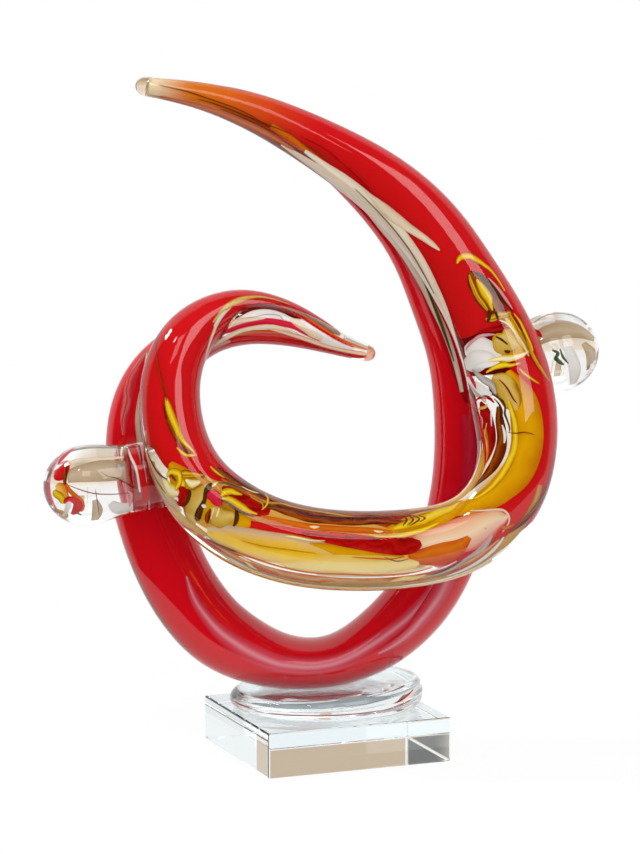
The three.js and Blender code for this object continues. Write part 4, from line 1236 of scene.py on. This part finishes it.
def build_tip(name, route, station, outside, material):
    """The clear drawn-off end of a strand. Outside is -1 at a route's start and 1 at its end."""
    place = route.at(station)
    reach = TIP_REACH * place.across
    verts = []
    for i in range(TIP_ROWS):
        turn = 0.5 * math.pi * i / TIP_ROWS
        push = outside * (GAP + reach * math.sin(turn))
        for k in range(RING_POINTS):
            t = 2 * math.pi * k / RING_POINTS
            u = place.across * math.cos(turn) * math.cos(t)
            v = place.deep * math.cos(turn) * math.sin(t)
            verts.append(place.point(u, v, push))
    verts.append(place.point(0, 0, outside * (GAP + reach)))
    top = len(verts) - 1
    last = top - RING_POINTS
    faces = band_faces(0, TIP_ROWS, RING_POINTS)
    faces += [(last + k, last + (k + 1) % RING_POINTS, top) for k in range(RING_POINTS)]
    faces.append(tuple(range(RING_POINTS))[::-1])
    if outside < 0:
        faces = [face[::-1] for face in faces]
    tip = crease(make_mesh(name + "_bead", verts, faces, material))
    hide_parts(name)
    return tip


class KnobRoute:
    """A knob as a route, whose stations are millimetres from its crown inwards."""

    def __init__(self, ends):
        self.inner, self.crown = (Vector(p) for p in ends)
        self.length = (self.crown - self.inner).length
        self.crown_start = self.length - KNOB_CROWN
        self.swell_start = self.crown_start - KNOB_SWELL

    def radius(self, h):
        """Radius at a height over the inner end."""
        neck, girth = KNOB_NECK / 2, KNOB_GIRTH / 2
        if h < KNOB_INNER_DOME:
            return neck * math.sin(math.acos(1 - h / KNOB_INNER_DOME))
        if h < self.swell_start:
            return neck
        if h < self.crown_start:
            swell = 0.5 - 0.5 * math.cos(math.pi * (h - self.swell_start) / KNOB_SWELL)
            return neck + (girth - neck) * swell
        return girth * math.sqrt(max(0, 1 - ((h - self.crown_start) / KNOB_CROWN) ** 2))

    def at(self, station):
        along = (self.inner - self.crown).normalized()
        outward = along.cross(Vector((0, 1, 0))).normalized()
        radius = max(self.radius(self.length - station), 0.5)
        centre = self.crown + along * station
        return Place(centre, along, outward, along.cross(outward), radius, radius)


def build_knob(name, route, cutters):
    dome = [0.5 * math.pi * i / DOME_ROWS for i in range(1, DOME_ROWS + 1)]
    crown = [0.5 * math.pi * i / CROWN_ROWS for i in range(1, CROWN_ROWS)]
    heights = [KNOB_INNER_DOME * (1 - math.cos(t)) for t in dome]
    heights += [route.swell_start + KNOB_SWELL * i / SWELL_ROWS for i in range(SWELL_ROWS + 1)]
    heights += [route.crown_start + KNOB_CROWN * math.sin(t) for t in crown]
    profile = [(0, 0), *((route.radius(h), h) for h in heights), (0, route.length)]
    form = turned([(r * MM, h * MM) for r, h in profile], RING_POINTS)
    knob = make_mesh(name + "_glass", *form, KNOB_GLASS)
    aim = (route.crown - route.inner).to_track_quat("Z", "Y").to_matrix().to_4x4()
    inner = route.inner
    place = Matrix.Translation(Vector((inner.x * MM, inner.y * MM, inner.z * MM + SEAT)))
    knob.data.transform(place @ aim)
    crease(cut(knob, *cutters))
    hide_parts(name)
    return knob


def build_bubbles():
    """Seed bubbles caught in the clear casing."""
    draw = random.Random(41)
    rows, slices, depth = 6, 10, 1.5
    turns = [math.pi * i / rows for i in range(rows + 1)]
    verts, faces = [], []
    for _ in range(BUBBLES):
        route = draw.choice((FRONT, FRONT, REAR))
        place = route.at(draw.uniform(2, route.steps - 1))
        turn = math.radians(draw.uniform(20, 160))
        u = (place.across - depth) * math.cos(turn)
        v = (place.deep - depth) * math.sin(turn)
        centre = Vector(place.point(u, v))
        radius = draw.uniform(*BUBBLE_RADIUS) * MM
        profile = [(radius * math.sin(t), -radius * math.cos(t)) for t in turns]
        points, sides = turned(profile, slices, len(verts))
        verts += [tuple(centre + Vector(p)) for p in points]
        faces += sides
    bubbles = make_mesh("seed_bubbles", verts, faces, BUBBLE)
    return bubbles


def build_foot(cutter):
    low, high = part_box("foot_pad")
    half = (high - low) / 2
    flat = 1 - FOOT_RIM * MM / half.x
    profile = [(0, 0), (flat * 0.5, 0), (flat, 0)]
    for i in range(1, FOOT_ROWS):
        turn = -0.5 * math.pi + math.pi * i / FOOT_ROWS
        profile.append((flat + (1 - flat) * math.cos(turn), FOOT_HEIGHT / 2 * (1 + math.sin(turn))))
    profile += [(flat, FOOT_HEIGHT), (flat * 0.5, FOOT_HEIGHT), (0, FOOT_HEIGHT)]
    foot = make_mesh("foot", *turned(profile, FOOT_POINTS), FOOT_GLASS)
    for v in foot.data.vertices:
        x, y, z = v.co
        v.co = (x * half.x, y * half.y, z * (1 + FOOT_LEAN * x) * MM + SEAT)
    crease(cut(foot, cutter))
    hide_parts("foot_pad")
    return foot


class FootRoute:
    """The foot as a route, whose stations are millimetres from its left end."""

    def __init__(self):
        low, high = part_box("foot_pad")
        self.half = (high - low) / 2 / MM

    def at(self, station):
        share = min(max((station - self.half.x) / self.half.x, -0.97), 0.97)
        height = FOOT_HEIGHT / 2 * (1 + FOOT_LEAN * share)
        centre = Vector((self.half.x * share, 0, height))
        deep = self.half.y * math.sqrt(1 - share * share)
        return Place(centre, Vector((1, 0, 0)), Vector((0, 0, 1)), Vector((0, -1, 0)), height, deep)


def build_film():
    low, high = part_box("glue_film")
    half = (high - low) / 2
    form = turned([(0, low.z), (1, low.z), (1, high.z), (0, high.z)], FILM_POINTS)
    film = make_mesh("glue", *form, GLUE)
    for v in film.data.vertices:
        v.co.x *= half.x
        v.co.y *= half.y
    crease(film)
    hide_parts("glue_film")
    return film


def build_block():
    """The clear block: an upright slab whose edges are ground and polished."""
    low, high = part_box("base_block")
    x, y = BLOCK_WIDTH * MM / 2, BLOCK_DEPTH * MM / 2
    verts = [(i * x, j * y, z) for z in (low.z, high.z) for i in (-1, 1) for j in (-1, 1)]
    faces = [(1, 3, 2, 0), (6, 7, 5, 4), (4, 5, 1, 0), (3, 7, 6, 2), (2, 6, 4, 0), (5, 7, 3, 1)]
    block = make_mesh("block", verts, faces, BLOCK_GLASS, flat=True)
    block.data.transform(Matrix.Rotation(BLOCK_TURN, 4, "Z"))
    bevel = block.modifiers.new("ground edges", "BEVEL")
    bevel.width = BLOCK_GROUND_EDGE * MM
    bevel.segments = 2
    bevel.profile = 0.6
    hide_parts("base_block")
    return block


left_route, right_route = KnobRoute(LEFT_KNOB), KnobRoute(RIGHT_KNOB)
pieces, cutter, rear_cutter = build_casings()
pieces += build_colours(cutter)
pieces.append(build_tip("upper_tip", FRONT, 0, -1, TIP_GLASS))
pieces.append(build_tip("hook_tip", REAR, REAR.steps, 1, HOOK_GLASS))
pieces.append(build_knob("left_knob", left_route, (cutter, rear_cutter)))
pieces.append(build_knob("right_knob", right_route, (cutter, rear_cutter)))
pieces += paint("left_knob", left_route, LEFT_KNOB_STROKES)
pieces += paint("right_knob", right_route, RIGHT_KNOB_STROKES)
pieces.append(build_bubbles())
pieces.append(build_foot(rear_cutter))
pieces += paint("foot", FootRoute(), FOOT_STROKES)
pieces.append(build_film())
pieces.append(build_block())
for tool in (cutter, rear_cutter):
    bpy.data.objects.remove(tool)
for piece in pieces:
    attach(piece, "root")


def build_camera():
    """The photo's camera, solved from the block's corners."""
    data = bpy.data.cameras.new("camera")
    data.sensor_width = 36
    data.lens = 168.6
    data.clip_end = 50
    camera = bpy.data.objects.new("camera", data)
    camera.location = (-0.0036, -2.2258, 0.5495)
    camera.rotation_euler = (math.radians(90 - 9.256), 0, 0)
    bpy.context.scene.collection.objects.link(camera)
    bpy.context.scene.camera = camera


# Table, light and surroundings


def build_table():
    """A pale table top, almost plain white for the camera and in mirrors. Seen through glass, it
    is pale near the block and tan from 0.09 m beside the middle on."""
    side, front, back = 0.34, -0.36, 0.23
    white_share, near, steepness = 0.94, 0.09, 16
    pale, tan = (0.90, 0.94, 0.95), (0.66, 0.56, 0.44)
    corners = [(-side, front, 0), (side, front, 0), (side, back, 0), (-side, back, 0)]
    material, nodes, links, surface = new_material("table")
    coordinates = nodes.new("ShaderNodeTexCoord")
    cloud = noise(nodes, links, coordinates.outputs["Object"], 4, 2)
    colour = ramp(nodes, links, cloud, [(0.3, (0.94, 0.94, 0.94)), (0.7, (0.96, 0.96, 0.96))])
    shader = principled(nodes, links, colour, {"Roughness": 0.9, "Specular IOR Level": 0})

    white = nodes.new("ShaderNodeEmission")
    path = nodes.new("ShaderNodeLightPath")
    through = path.outputs["Is Transmission Ray"]
    seen = calculate(nodes, links, "ADD", path.outputs["Is Camera Ray"], path.outputs["Is Glossy Ray"])
    seen = calculate(nodes, links, "ADD", seen, through, clamp=True)
    share = calculate(nodes, links, "MULTIPLY", seen, white_share)
    split = nodes.new("ShaderNodeSeparateXYZ")
    links.new(coordinates.outputs["Object"], split.inputs["Vector"])
    aside = calculate(nodes, links, "ABSOLUTE", split.outputs["X"])
    aside = calculate(nodes, links, "SUBTRACT", aside, near)
    aside = calculate(nodes, links, "MULTIPLY", aside, steepness, clamp=True)
    shade = mix_colours(nodes, links, aside, pale, tan)
    shade = mix_colours(nodes, links, through, (1.0, 1.0, 1.0), shade)
    links.new(shade, white.inputs["Color"])

    mixed = nodes.new("ShaderNodeMixShader")
    links.new(share, mixed.inputs["Fac"])
    links.new(shader.outputs["BSDF"], mixed.inputs[1])
    links.new(white.outputs["Emission"], mixed.inputs[2])
    links.new(mixed.outputs["Shader"], surface)
    table = make_mesh("table", corners, [(0, 1, 2, 3)], material, flat=True)
    table.location.z = -0.0002


def towards(azimuth, elevation):
    """A direction: azimuth 0 is away from the camera and 90 to the right."""
    a, e = math.radians(azimuth), math.radians(elevation)
    return Vector((math.cos(e) * math.sin(a), math.cos(e) * math.cos(a), math.sin(e)))


def opening(nodes, links, direction, azimuth, elevation, half_width, half_height):
    """1 where a direction falls inside a rectangle of the surroundings, else 0. Sizes in degrees."""
    soft = 0.04
    normal = towards(azimuth, elevation)
    side = Vector((normal.y, -normal.x, 0)).normalized()
    up = side.cross(normal)

    def dot(vector):
        node = nodes.new("ShaderNodeVectorMath")
        node.operation = "DOT_PRODUCT"
        node.inputs[1].default_value = vector
        links.new(direction, node.inputs[0])
        return node.outputs["Value"]

    ahead = calculate(nodes, links, "MAXIMUM", dot(normal), 0.001)
    mask = calculate(nodes, links, "GREATER_THAN", dot(normal), 0)
    for vector, half in ((side, half_width), (up, half_height)):
        reach = math.tan(math.radians(half))
        offset = calculate(nodes, links, "DIVIDE", dot(vector), ahead)
        offset = calculate(nodes, links, "ABSOLUTE", offset)
        inside = fade_out(nodes, links, offset, reach, reach * (1 + soft))
        mask = calculate(nodes, links, "MULTIPLY", mask, inside)
    return mask


# What clear glass shows of the room: azimuth, elevation, half width, half height, colour
ROOM = [
    (0.5, 9, 2.2, 9, (0.58, 0.44, 0.305)),
    (0.0, 12, 2.5, 1.6, (0.70, 0.58, 0.45)),
    (-0.9, 8, 0.3, 2, (0.33, 0.26, 0.20)),
    (-43.4, 9, 6, 9, (0.14, 0.135, 0.13)),
    (-4.25, 5, 0.2, 13, (0.74, 0.60, 0.42)),
    (4.6, 4, 0.3, 10, (0.78, 0.68, 0.55)),
    (-60, 10, 14, 20, (0.84, 0.74, 0.60)),
    (80, 12, 14, 18, (0.84, 0.74, 0.61)),
]
# The room over and under them, from straight down at 0 to straight up at 1
THROUGH_STOPS = [
    (0.0, (0.38, 0.29, 0.20)),
    (0.15, (0.46, 0.36, 0.26)),
    (0.25, (0.62, 0.51, 0.39)),
    (0.34, (0.80, 0.70, 0.57)),
    (0.41, (0.86, 0.77, 0.65)),
    (0.43, (0.95, 0.93, 0.91)),
    (0.6, (0.92, 0.93, 0.93)),
    (0.85, (0.97, 0.97, 0.97)),
]
# What is mirrored: a dark room on the camera's side, at 0, and white behind the piece, at 1
MIRRORED_STOPS = [
    (0.0, (0.03, 0.025, 0.025)),
    (0.5, (0.05, 0.045, 0.04)),
    (0.62, (0.9, 0.9, 0.9)),
    (1.0, (0.97, 0.97, 0.97)),
]
MIRRORED_FLOOR = (112, -36, 42, 24)  # a pale floor on the camera's right


def build_world():
    world = bpy.data.worlds.new("studio")
    bpy.context.scene.world = world
    world.use_nodes = True
    nodes, links = world.node_tree.nodes, world.node_tree.links
    nodes.clear()
    out = nodes.new("ShaderNodeOutputWorld")
    path = nodes.new("ShaderNodeLightPath")
    direction = nodes.new("ShaderNodeTexCoord").outputs["Generated"]
    split = nodes.new("ShaderNodeSeparateXYZ")
    links.new(direction, split.inputs["Vector"])

    height = calculate(nodes, links, "MULTIPLY_ADD", split.outputs["Z"], 0.5, 0.5)
    seen = ramp(nodes, links, height, THROUGH_STOPS)
    for *place, colour in ROOM:
        seen = mix_colours(nodes, links, opening(nodes, links, direction, *place), seen, colour)

    depth = calculate(nodes, links, "MULTIPLY_ADD", split.outputs["Y"], 0.5, 0.5)
    mirrored = ramp(nodes, links, depth, MIRRORED_STOPS)
    mask = opening(nodes, links, direction, *MIRRORED_FLOOR)
    mirrored = mix_colours(nodes, links, mask, mirrored, (1.0, 0.98, 0.96))

    colour = mix_colours(nodes, links, path.outputs["Is Glossy Ray"], (0.62, 0.62, 0.62), mirrored)
    colour = mix_colours(nodes, links, path.outputs["Is Transmission Ray"], colour, seen)
    colour = mix_colours(nodes, links, path.outputs["Is Camera Ray"], colour, (1.0, 1.0, 1.0))
    background = nodes.new("ShaderNodeBackground")
    links.new(colour, background.inputs["Color"])
    links.new(background.outputs["Background"], out.inputs["Surface"])


def soft_box(name, azimuth, elevation, distance, half_width, half_height, radiance):
    """A lamp that covers a rectangle of the surroundings, given in degrees as seen from the piece."""
    target = Vector((0, 0, 0.2))
    data = bpy.data.lights.new(name, "AREA")
    data.shape = "RECTANGLE"
    data.size = 2 * distance * math.tan(math.radians(half_width))
    data.size_y = 2 * distance * math.tan(math.radians(half_height))
    data.energy = radiance * math.pi * data.size * data.size_y
    lamp = bpy.data.objects.new(name, data)
    lamp.location = target + towards(azimuth, elevation) * distance
    lamp.rotation_euler = (target - lamp.location).to_track_quat("-Z", "Y").to_euler()
    bpy.context.scene.collection.objects.link(lamp)
    return lamp


build_camera()
build_table()
build_world()
soft_box("front_fill", 171, 5, 3.4, 21, 45, 1.7).visible_glossy = False
soft_box("window", 146, 37, 3.2, 12, 15, 3.6)
soft_box("upper_window", 184, 42, 3.2, 7, 8, 2.4)
soft_box("left_lamp", -87, 47, 2.4, 4.5, 4.5, 50)
soft_box("small_lamp", -150, 50, 2.4, 1.8, 1.8, 50)

scene = bpy.context.scene
scene.view_settings.view_transform = "Standard"
scene.cycles.max_bounces = 24
scene.cycles.transmission_bounces = 24
scene.cycles.glossy_bounces = 8
scene.cycles.transparent_max_bounces = 32
scene.cycles.sample_clamp_indirect = 30

bpy.context.view_layer.update()
